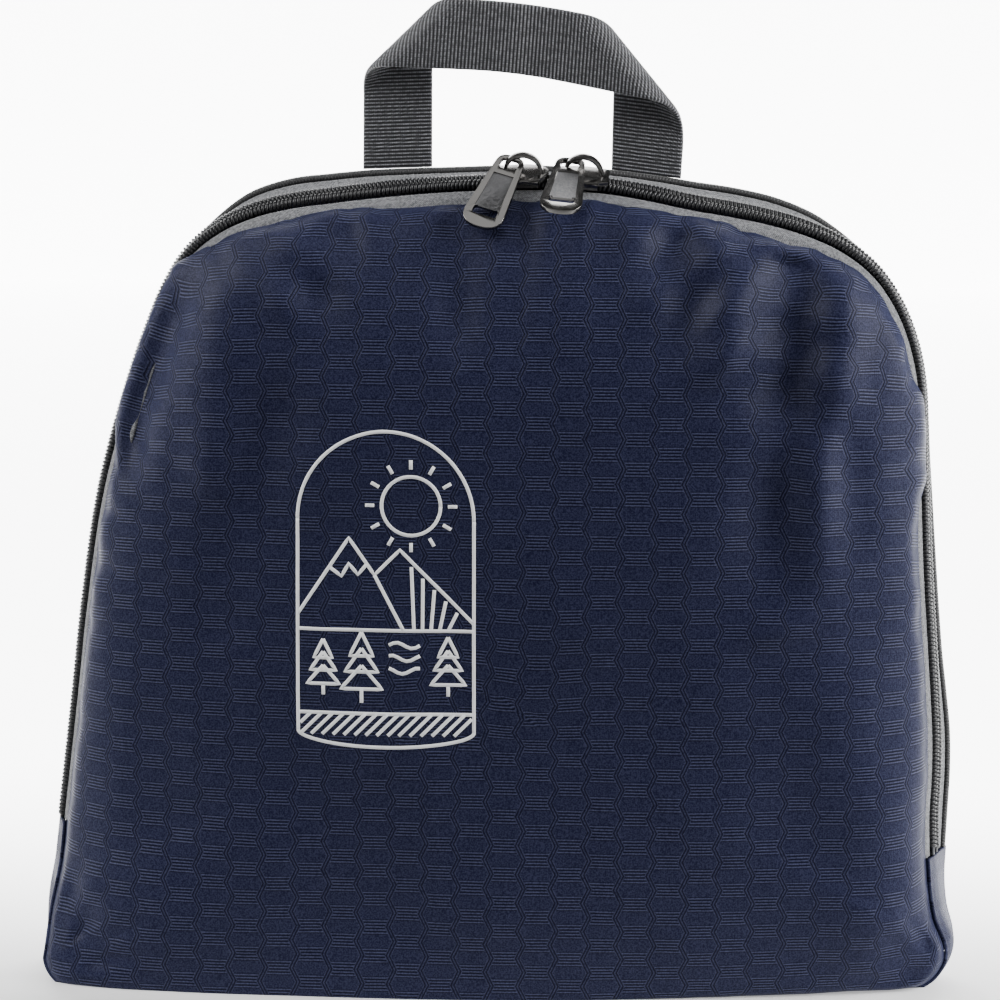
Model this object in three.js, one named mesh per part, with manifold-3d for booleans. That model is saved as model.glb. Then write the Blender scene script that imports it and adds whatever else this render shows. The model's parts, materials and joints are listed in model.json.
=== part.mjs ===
// A packable backpack, folded into its own zipped pouch and standing on its base.
// Millimetres. +Z is up, the front faces -Y and +X is the viewer's right.
import * as THREE from "three";
import { mergeVertices } from "three/addons/utils/BufferGeometryUtils.js";
import Module from "manifold-3d";

const wasm = await Module();
wasm.setup();

// The pouch
const HALF_WIDTH = 125; // at the chain, just above the base corners
const BODY_HEIGHT = 222.5; // floor to the chain at the top of the arch
const LEFT_CORNER_RADIUS = 9; // lower corners, seen from the front
const LEFT_CORNER_BULGE = 2.2; // that they stand out past HALF_WIDTH
const RIGHT_CORNER_RADIUS = 12;
const RIGHT_CORNER_BULGE = 1.4;
const SEAM_FRONT = 5.5; // chain to the front panel's seam, in depth
const SEAM_BACK = 6.5; // chain to the binding, in depth
const FRONT_DROP_TOP = 4.8; // the front seam lies this far inside the chain at the top
const FRONT_DROP_SIDE = 2.3; // and this far at the sides
const FRONT_FALL_CURVE = 1.15; // exponent of the front side's fall
const FRONT_BULGE = 22.5; // front seam to the fullest point of the front
const BACK_BULGE = 18; // back seam to the fullest point of the back
const BASE_BOW_FRONT = 22.6; // how far the base's front edge bows out where it is fullest
const BASE_BOW_BACK = 12; // and its back edge
const BASE_EDGE_RISE = 32; // height above the floor at which that starts, up the sides
const FULLEST_HEIGHT = 88; // height of the fullest point
const CLOTH = 1.2; // ripstop with its seam folds
const PIECE_GAP = 0.35; // between pieces that are sewn together

// The zip
const ZIP_END_LEFT = 43; // height of the chain's left end above the floor
const ZIP_END_RIGHT = 37; // and of its right end
const TAPE = 1; // woven tape
const COIL_ROW = 2.3; // width of one row of teeth
const COIL_HEIGHT = 2.2;
const COIL_PROUD = 1.2; // how far the teeth stand above the tape's face
const COIL_BEVEL = 0.33; // share of a row taken off its outer edge
const BINDING_WIDTH = 2.6;
const BINDING_PROUD = 0.9;
const BINDING_EDGE = 0.4; // share of that height at the binding's edges

// The sliders and pulls
const SLIDER_LEFT_X = 7.1;
const SLIDER_RIGHT_X = 23.2;
const SLIDER_LENGTH = 14;
const SLIDER_WIDTH = 8.2;
const SLIDER_PLATE = 1.3;
const SLIDER_FLANGE = 1;
const FLANGE_LENGTH = 8.4;
const SLIDER_CLEARANCE = 0.35; // slider to teeth and tape
const BRIDGE_SPAN = 11;
const BRIDGE_RISE = 6.2;
const BRIDGE_THICKNESS = 1;
const BRIDGE_WIDTH = 1.7;
const PULL_HEIGHT = 2.5; // of the pull's middle over the slider's plate, where the bridge holds it
const PULL_LENGTH = 24.9;
const PULL_TOP_WIDTH = 8;
const PULL_TIP_WIDTH = 11.4;
const PULL_TOP_ROUNDING = 3.2;
const PULL_TIP_ROUNDING = 4.6;
const PULL_THICKNESS = 1.3;
const EYE_WIDTH = 5.2;
const EYE_LENGTH = 3.6;
const EYE_ROUNDING = 1.4;
const EYE_SHIFT = 0.9; // the bridge's leg to the eye's middle
const EYE_RIM = 1.2; // metal above the eye
const RECESS_TOP_WIDTH = 5.8;
const RECESS_WIDTH = 7;
const RECESS_LENGTH = 11.8;
const RECESS_DEPTH = 0.4;
const SLOT_LENGTH = 2.6;
const SLOT_ROUNDING = 0.9;
const PULL_RIM = 1.9; // metal between the eye and the recess
const LEFT_PULL_DROOP = 18; // degrees below the slider's plane
const LEFT_PULL_TURN = 20; // degrees that it leans to the left
const RIGHT_PULL_DROOP = 0;
const RIGHT_PULL_TURN = 3;

// The haul loop of flat webbing
const WEBBING_WIDTH = 19;
const WEBBING = 1.5;
const LOOP_LEFT_X = -28.3; // middle of each leg
const LOOP_RIGHT_X = 39.9;
const LOOP_RISE = 37.4; // back seam to the middle of the top run
const LOOP_BEND_X = -15; // where the top run is highest
const LOOP_BEND_RADIUS = 178;
const FOLD_RADIUS = 4.6; // of the soft fold at each upper corner

// The rest of the bag, folded up inside
const BAG_CLEARANCE = 0.4; // off the base and the back
const FOLD_ROOM = 9; // left for the front's folds
const BAG_FACE_ROOM = 1.5; // behind the front's and back's seams
const BAG_RIM_ROOM = 2.5; // inside the zip

// The chain's arch from the lower left corner to the lower right one.
// x is a share of HALF_WIDTH and z of BODY_HEIGHT. rise says how many millimetres the back seam
// lies outside the chain.
const ARCH = [
  { x: -1.012, z: 0.08, rise: 0.2 },
  { x: -0.998, z: 0.125, rise: 0.4 },
  { x: -0.983, z: 0.19, rise: 0.4 },
  { x: -0.947, z: 0.35, rise: 0.4 },
  { x: -0.92, z: 0.475, rise: 0.4 },
  { x: -0.877, z: 0.62, rise: 0.3 },
  { x: -0.802, z: 0.765, rise: 0 },
  { x: -0.762, z: 0.825, rise: -0.3 },
  { x: -0.7, z: 0.896, rise: -0.3 },
  { x: -0.62, z: 0.939, rise: 0.9 },
  { x: -0.51, z: 0.967, rise: 3.1 },
  { x: -0.33, z: 0.984, rise: 3.2 },
  { x: -0.12, z: 0.996, rise: 2.2 },
  { x: 0.08, z: 1, rise: 2 },
  { x: 0.25, z: 0.995, rise: 2 },
  { x: 0.43, z: 0.976, rise: 2.9 },
  { x: 0.58, z: 0.961, rise: 2.9 },
  { x: 0.705, z: 0.939, rise: 1.4 },
  { x: 0.785, z: 0.913, rise: -0.3 },
  { x: 0.845, z: 0.878, rise: -0.3 },
  { x: 0.893, z: 0.826, rise: 0.2 },
  { x: 0.921, z: 0.765, rise: 0.5 },
  { x: 0.932, z: 0.66, rise: 0.8 },
  { x: 0.944, z: 0.52, rise: 1.4 },
  { x: 0.957, z: 0.42, rise: 1.6 },
  { x: 0.97, z: 0.3, rise: 2.6 },
  { x: 0.966, z: 0.2, rise: 2.6 },
  { x: 0.976, z: 0.125, rise: 1.2 },
  { x: 0.992, z: 0.08, rise: 0.6 },
];

// The base's front edge: x is a share of HALF_WIDTH and bow of BASE_BOW_FRONT.
const BASE_EDGE = [
  { x: -1, bow: 0.58 },
  { x: -0.9, bow: 0.78 },
  { x: -0.8, bow: 0.87 },
  { x: -0.6, bow: 0.95 },
  { x: -0.2, bow: 1 },
  { x: 0.02, bow: 0.97 },
  { x: 0.24, bow: 0.86 },
  { x: 0.46, bow: 0.65 },
  { x: 0.68, bow: 0.41 },
  { x: 0.79, bow: 0.25 },
  { x: 0.9, bow: 0.08 },
  { x: 0.98, bow: 0 },
];

// Valleys (depth above 0) and ridges (below 0) of the front cloth.
// x values are shares of HALF_WIDTH, z values of BODY_HEIGHT, depth and width of FRONT_BULGE.
const FRONT_FOLDS = [
  { fromX: -0.7, fromZ: 0.88, toX: -0.82, toZ: 0.68, depth: 0.3, width: 0.28 },
  { fromX: -0.58, fromZ: 0.86, toX: -0.62, toZ: 0.66, depth: -0.12, width: 0.4 },
  { fromX: -0.46, fromZ: 0.73, toX: -0.55, toZ: 0.47, depth: 0.13, width: 0.36 },
  { fromX: 0.75, fromZ: 0.86, toX: 0.65, toZ: 0.47, depth: -0.13, width: 0.22 },
  { fromX: 0.68, fromZ: 0.84, toX: 0.57, toZ: 0.5, depth: 0.14, width: 0.26 },
  { fromX: 0.77, fromZ: 0.36, toX: 0.9, toZ: 0.12, depth: -0.1, width: 0.6 },
  { fromX: -0.37, fromZ: 0.96, toX: -0.36, toZ: 0.87, depth: 0.13, width: 0.2 },
  { fromX: -0.44, fromZ: 0.95, toX: -0.43, toZ: 0.86, depth: -0.1, width: 0.2 },
  { fromX: -0.06, fromZ: 0.96, toX: -0.07, toZ: 0.85, depth: 0.15, width: 0.24 },
  { fromX: 0.05, fromZ: 0.96, toX: 0.04, toZ: 0.86, depth: 0.1, width: 0.2 },
  { fromX: 0.33, fromZ: 0.96, toX: 0.34, toZ: 0.86, depth: -0.1, width: 0.22 },
  { fromX: 0.4, fromZ: 0.95, toX: 0.4, toZ: 0.84, depth: 0.14, width: 0.22 },
  { fromX: 0.5, fromZ: 0.94, toX: 0.5, toZ: 0.8, depth: -0.16, width: 0.26 },
  { fromX: 0.64, fromZ: 0.9, toX: 0.62, toZ: 0.78, depth: 0.18, width: 0.26 },
  { fromX: -0.95, fromZ: 0.09, toX: -0.86, toZ: 0.05, depth: 0.12, width: 0.22 },
  { fromX: 0.96, fromZ: 0.1, toX: 0.9, toZ: 0.03, depth: 0.14, width: 0.18 },
];

const DOME_SHOULDER = 2.6; // exponent of the front's and back's fullness towards the rim
const FOLD_FADE = 22; // the folds fade out over this part, one in 22, of the way to the seam
const BAG_RIM_CURVE = 4; // exponent of how the stowed bag draws in towards its rim
const DOME_RINGS = [1, 0.985, 0.955, 0.91, 0.85, 0.77, 0.67, 0.55, 0.41, 0.25, 0.1];
const BACK_RINGS = [1, 0.98, 0.93, 0.83, 0.66, 0.42, 0.15];
const BAG_RINGS = [0.1, 0.4, 0.7, 0.9, 1];
const ARCH_STEPS = 48;
const SIDE_STEPS = 3;
const CORNER_STEPS = 3;
const BASE_STEPS = 16;
const TAPE_STEPS = 2;
const GUSSET_STEPS = 4;
const WEBBING_FOLD_STEPS = 7;
const WEBBING_RUN_STEPS = 8;
const BRIDGE_SEGMENTS = 12;
const SLIDER_SEGMENTS = 7;
const PULL_SEGMENTS = 8;
const BISECTIONS = 40;

// Half of the slider's outline from its tail to its nose, as shares of its half length and half
// width: a curve's guide point, then its end.
const SLIDER_TAIL = 0.72;
const SLIDER_CURVES = [
  { guideX: 0, guideY: 1.1, x: 0.55, y: 0.85 },
  { guideX: 1, guideY: 0.6, x: 1, y: 0 },
];

const NAVY = new THREE.MeshStandardMaterial({ color: 0x222846, roughness: 0.62, metalness: 0 });
const GREY_TAPE = new THREE.MeshStandardMaterial({ color: 0x6d7178, roughness: 0.8, metalness: 0 });
const BLACK = new THREE.MeshStandardMaterial({ color: 0x17181a, roughness: 0.6, metalness: 0 });
const GREY_WEBBING = new THREE.MeshStandardMaterial({ color: 0x54565c, roughness: 0.75, metalness: 0 });
const GUNMETAL = new THREE.MeshStandardMaterial({ color: 0x55555a, roughness: 0.3, metalness: 1 });

const mix = (a, b, share) => a + (b - a) * share;
const clamp01 = (value) => Math.min(1, Math.max(0, value));
const radians = THREE.MathUtils.degToRad;

// A value read off a table in straight lines between its rows.
function tableAt(rows, x, key) {
  const next = rows.findIndex((row) => row.x > x);
  if (next === 0) return rows[0][key];
  if (next < 0) return rows[rows.length - 1][key];
  const [from, to] = [rows[next - 1], rows[next]];
  return mix(from[key], to[key], (x - from.x) / (to.x - from.x));
}

const LEFT_CORNER = { x: -HALF_WIDTH - LEFT_CORNER_BULGE, radius: LEFT_CORNER_RADIUS };
const RIGHT_CORNER = { x: HALF_WIDTH + RIGHT_CORNER_BULGE, radius: RIGHT_CORNER_RADIUS };

// The chain's line. Its y holds the rise of the back seam.
const archCurve = new THREE.CatmullRomCurve3(
  [
    new THREE.Vector3(LEFT_CORNER.x, 0, LEFT_CORNER.radius),
    ...ARCH.map((row) => new THREE.Vector3(row.x * HALF_WIDTH, row.rise, row.z * BODY_HEIGHT)),
    new THREE.Vector3(RIGHT_CORNER.x, 0, RIGHT_CORNER.radius),
  ],
  false,
  "centripetal",
);

// A station is a point of the chain's line with its outward normal and the back seam's rise, and on
// the arch its direction.
function archStation(share) {
  const point = archCurve.getPointAt(share);
  const rise = point.y;
  const along = archCurve.getTangentAt(share).setY(0).normalize();
  return { point: point.setY(0), rise, along, out: new THREE.Vector3(-along.z, 0, along.x) };
}

// The share of the arch, between two shares, at which a measure of its point is zero.
function shareWhere(measure, from, to) {
  const rising = measure(archCurve.getPointAt(to)) > 0;
  let low = from;
  let high = to;
  for (let step = 0; step < BISECTIONS; step++) {
    const middle = (low + high) / 2;
    if (measure(archCurve.getPointAt(middle)) > 0 === rising) high = middle;
    else low = middle;
  }
  return (low + high) / 2;
}

const MID_SHARE = 0.5;
const leftEnd = shareWhere((p) => p.z - ZIP_END_LEFT, 0, MID_SHARE);
const rightEnd = shareWhere((p) => p.z - ZIP_END_RIGHT, MID_SHARE, 1);
const stationAtX = (x) => archStation(shareWhere((p) => p.x - x, leftEnd, rightEnd));

const steps = (count) => Array.from({ length: count + 1 }, (_, i) => i / count);
const archStations = steps(ARCH_STEPS).map((s) => archStation(mix(leftEnd, rightEnd, s)));

// Where the flat base ends at a lower corner.
const cornerFoot = ({ x, radius }) => x - Math.sign(x) * radius;

// A lower corner's quarter circle, from its side to the base.
function cornerStations(corner) {
  return steps(CORNER_STEPS).map((s) => {
    const angle = (s * Math.PI) / 2;
    const out = new THREE.Vector3(Math.sign(corner.x) * Math.cos(angle), 0, -Math.sin(angle));
    const centre = new THREE.Vector3(cornerFoot(corner), 0, corner.radius);
    return { point: centre.addScaledVector(out, corner.radius), rise: 0, out };
  });
}

// From a share of the arch near its right end, down round the base, and up to one near its left end.
function lowerStations(from, to) {
  const rightSide = steps(SIDE_STEPS).map((s) => archStation(mix(from, 1, s)));
  const leftSide = steps(SIDE_STEPS).map((s) => archStation(mix(0, to, s)));
  const base = steps(BASE_STEPS).map((s) => ({
    point: new THREE.Vector3(mix(cornerFoot(RIGHT_CORNER), cornerFoot(LEFT_CORNER), s), 0, 0),
    rise: 0,
    out: new THREE.Vector3(0, 0, -1),
  }));
  const rightCorner = cornerStations(RIGHT_CORNER);
  const leftCorner = cornerStations(LEFT_CORNER).reverse();
  return [
    ...rightSide.slice(0, -1),
    ...rightCorner.slice(0, -1),
    ...base.slice(0, -1),
    ...leftCorner.slice(0, -1),
    ...leftSide,
  ];
}

const loopStations = [...archStations, ...lowerStations(rightEnd, leftEnd).slice(1, -1)];
const gapShare = PIECE_GAP / archCurve.getLength();

// How far the gusset's face lies outside the chain's line at a depth y.
function gussetRise(place, y) {
  const up = Math.max(0, place.out.z) ** 2;
  const side = clamp01(1 + place.out.z);
  const share = Math.min(1, -y / SEAM_FRONT) ** FRONT_FALL_CURVE;
  if (y < 0) return -mix(FRONT_DROP_SIDE, FRONT_DROP_TOP, up) * share * side;
  return (place.rise * y) / SEAM_BACK;
}

// A point of the gusset at a depth y, raised off its face.
function gussetPoint(place, y, raise = 0) {
  const point = place.point.clone().addScaledVector(place.out, gussetRise(place, y) + raise);
  point.y = y;
  return point;
}

// The frame of the closed chain: how far its face leans to the front, and its axes there.
function chainFrame(place) {
  const half = SLIDER_WIDTH / 2;
  const fall = gussetRise(place, half) - gussetRise(place, -half);
  const lean = Math.atan2(fall, SLIDER_WIDTH);
  const up = place.out.clone().multiplyScalar(Math.cos(lean));
  up.y = -Math.sin(lean);
  const across = place.out.clone().multiplyScalar(Math.sin(lean));
  across.y = Math.cos(lean);
  return { across, up };
}

function chainPoint(place, across, raise) {
  const frame = chainFrame(place);
  const point = place.point.clone().addScaledVector(frame.across, across);
  return point.addScaledVector(frame.up, raise);
}

const BACK_RIM = SEAM_BACK + BINDING_WIDTH + 2 * PIECE_GAP;

// The base's edges bow out between its corners.
const down = (place) => clamp01(1 - place.point.z / BASE_EDGE_RISE);
const frontBow = (place) => tableAt(BASE_EDGE, place.point.x / HALF_WIDTH, "bow");
const backBow = (place) => Math.max(0, 1 - (place.point.x / HALF_WIDTH) ** 2);
const frontSeam = (place) => -SEAM_FRONT - BASE_BOW_FRONT * down(place) * frontBow(place);
const backSeam = (place) => BACK_RIM + BASE_BOW_BACK * down(place) * backBow(place);
const FRONT_PEAK = -SEAM_FRONT - FRONT_BULGE;
const BACK_PEAK = BACK_RIM + BACK_BULGE;

// A point of a full panel, from its fullest point (reach 0) to its seam (reach 1).
function domePoint(place, seam, peak, reach) {
  const rim = gussetPoint(place, seam);
  const fullness = Math.sqrt(1 - reach ** DOME_SHOULDER);
  return new THREE.Vector3(
    rim.x * reach,
    mix(seam, peak, fullness),
    mix(FULLEST_HEIGHT, rim.z, reach),
  );
}

// How deep the front's folds are at a point of it, fading out at its seam.
function foldDepth(point, reach) {
  const fade = clamp01((1 - reach) * FOLD_FADE);
  const at = new THREE.Vector2(point.x, point.z);
  let depth = 0;
  for (const fold of FRONT_FOLDS) {
    const from = new THREE.Vector2(fold.fromX * HALF_WIDTH, fold.fromZ * BODY_HEIGHT);
    const to = new THREE.Vector2(fold.toX * HALF_WIDTH, fold.toZ * BODY_HEIGHT);
    const run = to.clone().sub(from);
    const share = clamp01(at.clone().sub(from).dot(run) / run.lengthSq());
    const away = from.addScaledVector(run, share).distanceTo(at) / (fold.width * FRONT_BULGE);
    depth += fold.depth * FRONT_BULGE * Math.exp(-away * away);
  }
  return depth * fade;
}

function frontPoint(place, reach) {
  const point = domePoint(place, frontSeam(place), FRONT_PEAK, reach);
  point.y += foldDepth(point, reach);
  return point;
}

function geometryOf(points, triangles) {
  const positions = new Float32Array(points.flatMap((p) => [p.x, p.y, p.z]));
  return new THREE.BufferGeometry()
    .setAttribute("position", new THREE.BufferAttribute(positions, 3))
    .setIndex(triangles.flat());
}

// Two triangles of a quad whose corners run anticlockwise seen from outside.
const quad = (a, b, c, d) => [[a, b, c], [a, c, d]];

// The triangles between rows of points. A closed row meets itself again.
function gridTriangles(rowCount, width, closed) {
  const triangles = [];
  for (let row = 0; row + 1 < rowCount; row++)
    for (let i = 0; i < (closed ? width : width - 1); i++) {
      const next = (i + 1) % width;
      const low = row * width;
      const high = low + width;
      triangles.push(...quad(low + i, low + next, high + next, high + i));
    }
  return triangles;
}

const flipped = (triangles) => triangles.map(([a, b, c]) => [a, c, b]);

// A wall of even thickness behind an open sheet, whose triangles face out.
// known gives the outward direction of the first points, as along a seam.
function wallBehind(points, triangles, thickness, known) {
  const sheet = geometryOf(points, triangles);
  sheet.computeVertexNormals();
  const normals = sheet.getAttribute("normal");
  const inner = points.map((p, i) => {
    const out = known[i] ?? new THREE.Vector3().fromBufferAttribute(normals, i);
    return p.clone().addScaledVector(out, -thickness);
  });
  const count = points.length;
  const edges = new Map();
  for (const [a, b, c] of triangles)
    for (const [from, to] of [[a, b], [b, c], [c, a]]) edges.set(from + " " + to, [from, to]);
  const sides = [];
  for (const [from, to] of edges.values())
    if (!edges.has(to + " " + from)) sides.push(...quad(to, from, from + count, to + count));
  const back = flipped(triangles).map((triangle) => triangle.map((i) => i + count));
  return geometryOf([...points, ...inner], [...triangles, ...back, ...sides]);
}

// A full panel with a fan at its fullest point.
function panelWall(pointAt, rings, centre, facesFront) {
  const width = loopStations.length;
  const points = rings.flatMap((reach) => loopStations.map((place) => pointAt(place, reach)));
  points.push(centre);
  const triangles = gridTriangles(rings.length, width, true);
  const last = (rings.length - 1) * width;
  for (let i = 0; i < width; i++)
    triangles.push([last + i, last + ((i + 1) % width), points.length - 1]);
  const seamOut = loopStations.map((place) => place.out);
  return wallBehind(points, facesFront ? flipped(triangles) : triangles, CLOTH, seamOut);
}

// A solid skinned over closed rings of points, with a flat fan at each end.
function ringSolid(rings) {
  const width = rings[0].length;
  const points = rings.flat();
  const triangles = gridTriangles(rings.length, width, true);
  const middle = (ring) =>
    ring.reduce((sum, p) => sum.add(p), new THREE.Vector3()).divideScalar(width);
  points.push(middle(rings[0]), middle(rings[rings.length - 1]));
  const last = (rings.length - 1) * width;
  for (let i = 0; i < width; i++) {
    const next = (i + 1) % width;
    triangles.push([next, i, points.length - 2], [last + i, last + next, points.length - 1]);
  }
  return geometryOf(points, triangles);
}

// A bar whose section, rows of two distances, is carried along the chain.
const barAlongChain = (section, pointAt) =>
  ringSolid(archStations.map((place) => section.map(({ y, rise }) => pointAt(place, y, rise))));

// A strip of the gusset between two depths.
function gussetStrip(places, depthsAt, thickness) {
  const rows = places.map((place) => depthsAt(place).map((y) => gussetPoint(place, y)));
  const triangles = flipped(gridTriangles(rows.length, rows[0].length, false));
  const out = places.flatMap((place, i) => rows[i].map(() => place.out));
  return wallBehind(rows.flat(), triangles, thickness, out);
}

const frontPanel = () =>
  panelWall(frontPoint, DOME_RINGS, new THREE.Vector3(0, FRONT_PEAK, FULLEST_HEIGHT), true);

function backPanel() {
  const pointAt = (place, reach) => domePoint(place, backSeam(place), BACK_PEAK, reach);
  return panelWall(pointAt, BACK_RINGS, new THREE.Vector3(0, BACK_PEAK, FULLEST_HEIGHT), false);
}

// The cloth that runs under the pouch from one end of the zip to the other.
function baseGusset() {
  const depthsAt = (place) => {
    const from = frontSeam(place) + PIECE_GAP;
    const to = backSeam(place) - PIECE_GAP;
    return steps(GUSSET_STEPS).map((s) => mix(from, to, s));
  };
  return gussetStrip(lowerStations(rightEnd + gapShare, leftEnd - gapShare), depthsAt, CLOTH);
}

const ROW_NEAR = PIECE_GAP / 2;
const ROW_FAR = ROW_NEAR + COIL_ROW;
const tapeEdge = ROW_FAR + PIECE_GAP;

const tapeFront = () =>
  gussetStrip(
    archStations,
    () => steps(TAPE_STEPS).map((s) => mix(-SEAM_FRONT + PIECE_GAP, -tapeEdge, s)),
    TAPE,
  );

const tapeBack = () =>
  gussetStrip(
    archStations,
    () => steps(TAPE_STEPS).map((s) => mix(tapeEdge, SEAM_BACK, s)),
    TAPE,
  );

// One row of the closed chain. side is -1 for the front row and 1 for the back one.
function coilRow(side) {
  const near = side * ROW_NEAR;
  const far = side * ROW_FAR;
  const bevel = COIL_ROW * COIL_BEVEL;
  const low = COIL_PROUD - COIL_HEIGHT;
  const section = [
    { y: near, rise: low },
    { y: far, rise: low },
    { y: far, rise: COIL_PROUD - bevel },
    { y: far - side * bevel, rise: COIL_PROUD },
    { y: near, rise: COIL_PROUD },
  ];
  return barAlongChain(side > 0 ? section : section.reverse(), chainPoint);
}

function rimBinding() {
  const from = SEAM_BACK + PIECE_GAP;
  const to = from + BINDING_WIDTH;
  const section = [
    { y: from, rise: -TAPE },
    { y: to, rise: -TAPE },
    { y: to, rise: BINDING_PROUD * BINDING_EDGE },
    { y: (from + to) / 2, rise: BINDING_PROUD },
    { y: from, rise: BINDING_PROUD * BINDING_EDGE },
  ];
  return barAlongChain(section, gussetPoint);
}

// The folded bag inside: the pouch's own shape, drawn in on every side.
function stowedBag() {
  const places = loopStations.filter((_, i) => i % 2 === 0);
  const inset = CLOTH + BAG_CLEARANCE;
  const rim = inset + BAG_RIM_ROOM;
  const ring = (seamOf, peak, reach) =>
    places.map((place) => {
      const seam = seamOf(place);
      const point = domePoint(place, seam, peak, reach);
      const share = reach ** BAG_RIM_CURVE;
      point.x -= place.out.x * rim * share;
      point.z -= place.out.z * (place.out.z < 0 ? inset : rim) * share;
      return point;
    });
  const frontAt = (place) => frontSeam(place) + inset + BAG_FACE_ROOM;
  const backAt = (place) => backSeam(place) - inset - BAG_FACE_ROOM;
  const outward = (reach) => ring(frontAt, FRONT_PEAK + FOLD_ROOM, reach);
  const inward = (reach) => ring(backAt, BACK_PEAK - inset - BAG_FACE_ROOM, reach);
  return ringSolid([...BAG_RINGS.map(outward), ...[...BAG_RINGS].reverse().map(inward)]);
}

// Booleans
function solidOf(geometry) {
  const bare = geometry.clone();
  bare.deleteAttribute("normal");
  bare.deleteAttribute("uv");
  const merged = mergeVertices(bare, 1e-4);
  return new wasm.Manifold(
    new wasm.Mesh({
      numProp: 3,
      vertProperties: new Float32Array(merged.attributes.position.array),
      triVerts: new Uint32Array(merged.index.array),
    }),
  );
}

function geometryFrom(solid) {
  const mesh = solid.getMesh();
  return new THREE.BufferGeometry()
    .setAttribute("position", new THREE.BufferAttribute(mesh.vertProperties, mesh.numProp))
    .setIndex(new THREE.BufferAttribute(mesh.triVerts, 1));
}

const SLIDER_FLOOR = COIL_PROUD + SLIDER_CLEARANCE; // underside of the slider's top plate
const SLIDER_TOP = SLIDER_FLOOR + SLIDER_PLATE;
const BRIDGE_HOLE = BRIDGE_RISE - BRIDGE_THICKNESS;

// The middle of the bridge's leg at the height of the pull.
const legX = (half, rise) => -half * Math.sqrt(1 - (PULL_HEIGHT / rise) ** 2);
const LEG_OUTER = legX(BRIDGE_SPAN / 2, BRIDGE_RISE);
const LEG_INNER = legX(BRIDGE_SPAN / 2 - BRIDGE_THICKNESS, BRIDGE_HOLE);
const LEG_X = (LEG_OUTER + LEG_INNER) / 2;

// A plate with a rounded nose at +X and a blunter tail, seen from above.
function sliderOutline() {
  const half = SLIDER_LENGTH / 2;
  const side = SLIDER_WIDTH / 2;
  const shape = new THREE.Shape();
  shape.moveTo(-half, -side * SLIDER_TAIL);
  for (const curve of SLIDER_CURVES)
    shape.quadraticCurveTo(
      half * curve.guideX,
      -side * curve.guideY,
      half * curve.x,
      -side * curve.y,
    );
  const [wide, nose] = SLIDER_CURVES;
  shape.quadraticCurveTo(half * nose.guideX, side * nose.guideY, half * wide.x, side * wide.y);
  shape.quadraticCurveTo(half * wide.guideX, side * wide.guideY, -half, side * SLIDER_TAIL);
  return shape;
}

function bridgeGeometry() {
  const shape = new THREE.Shape();
  const foot = -SLIDER_PLATE / 2;
  const outer = BRIDGE_SPAN / 2;
  const inner = outer - BRIDGE_THICKNESS;
  shape.moveTo(-outer, foot);
  shape.lineTo(-outer, 0);
  shape.absellipse(0, 0, outer, BRIDGE_RISE, Math.PI, 0, true);
  shape.lineTo(outer, foot);
  shape.lineTo(inner, foot);
  shape.lineTo(inner, 0);
  shape.absellipse(0, 0, inner, BRIDGE_HOLE, 0, Math.PI, false);
  shape.lineTo(-inner, foot);
  const bar = new THREE.ExtrudeGeometry(shape, {
    depth: BRIDGE_WIDTH,
    bevelEnabled: false,
    curveSegments: BRIDGE_SEGMENTS,
  });
  bar.rotateX(Math.PI / 2);
  return bar.translate(0, BRIDGE_WIDTH / 2, SLIDER_TOP);
}

function sliderGeometry() {
  const plate = new THREE.ExtrudeGeometry(sliderOutline(), {
    depth: SLIDER_PLATE,
    bevelEnabled: false,
    curveSegments: SLIDER_SEGMENTS,
  }).translate(0, 0, SLIDER_FLOOR);
  let solid = solidOf(plate).add(solidOf(bridgeGeometry()));
  const drop = SLIDER_FLOOR - SLIDER_CLEARANCE;
  for (const side of [-1, 1]) {
    const y = side * (ROW_FAR + SLIDER_CLEARANCE + SLIDER_FLANGE / 2);
    const flange = new THREE.BoxGeometry(FLANGE_LENGTH, SLIDER_FLANGE, drop + SLIDER_PLATE / 2);
    flange.translate(0, y, SLIDER_FLOOR - drop / 2 + SLIDER_PLATE / 4);
    solid = solid.add(solidOf(flange));
  }
  return geometryFrom(solid);
}

// The pull lies in its own XY plane, its tip towards -Y and the bridge's leg at the origin.
function pullOutline() {
  const top = EYE_LENGTH / 2 + EYE_RIM;
  const tip = top - PULL_LENGTH;
  const upper = PULL_TOP_WIDTH / 2;
  const lower = PULL_TIP_WIDTH / 2;
  const shape = new THREE.Shape();
  shape.moveTo(PULL_TOP_ROUNDING - upper, top);
  shape.quadraticCurveTo(-upper, top, -upper, top - PULL_TOP_ROUNDING);
  shape.lineTo(-lower, tip + PULL_TIP_ROUNDING);
  shape.quadraticCurveTo(-lower, tip, 0, tip);
  shape.quadraticCurveTo(lower, tip, lower, tip + PULL_TIP_ROUNDING);
  shape.lineTo(upper, top - PULL_TOP_ROUNDING);
  shape.quadraticCurveTo(upper, top, upper - PULL_TOP_ROUNDING, top);
  return shape;
}

function roundedHole(width, length, y, radius) {
  const hole = new THREE.Path();
  const x = width / 2;
  const low = y - length / 2;
  const high = y + length / 2;
  hole.moveTo(-x + radius, low);
  hole.lineTo(x - radius, low);
  hole.quadraticCurveTo(x, low, x, low + radius);
  hole.lineTo(x, high - radius);
  hole.quadraticCurveTo(x, high, x - radius, high);
  hole.lineTo(-x + radius, high);
  hole.quadraticCurveTo(-x, high, -x, high - radius);
  hole.lineTo(-x, low + radius);
  hole.quadraticCurveTo(-x, low, -x + radius, low);
  return hole;
}

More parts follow.
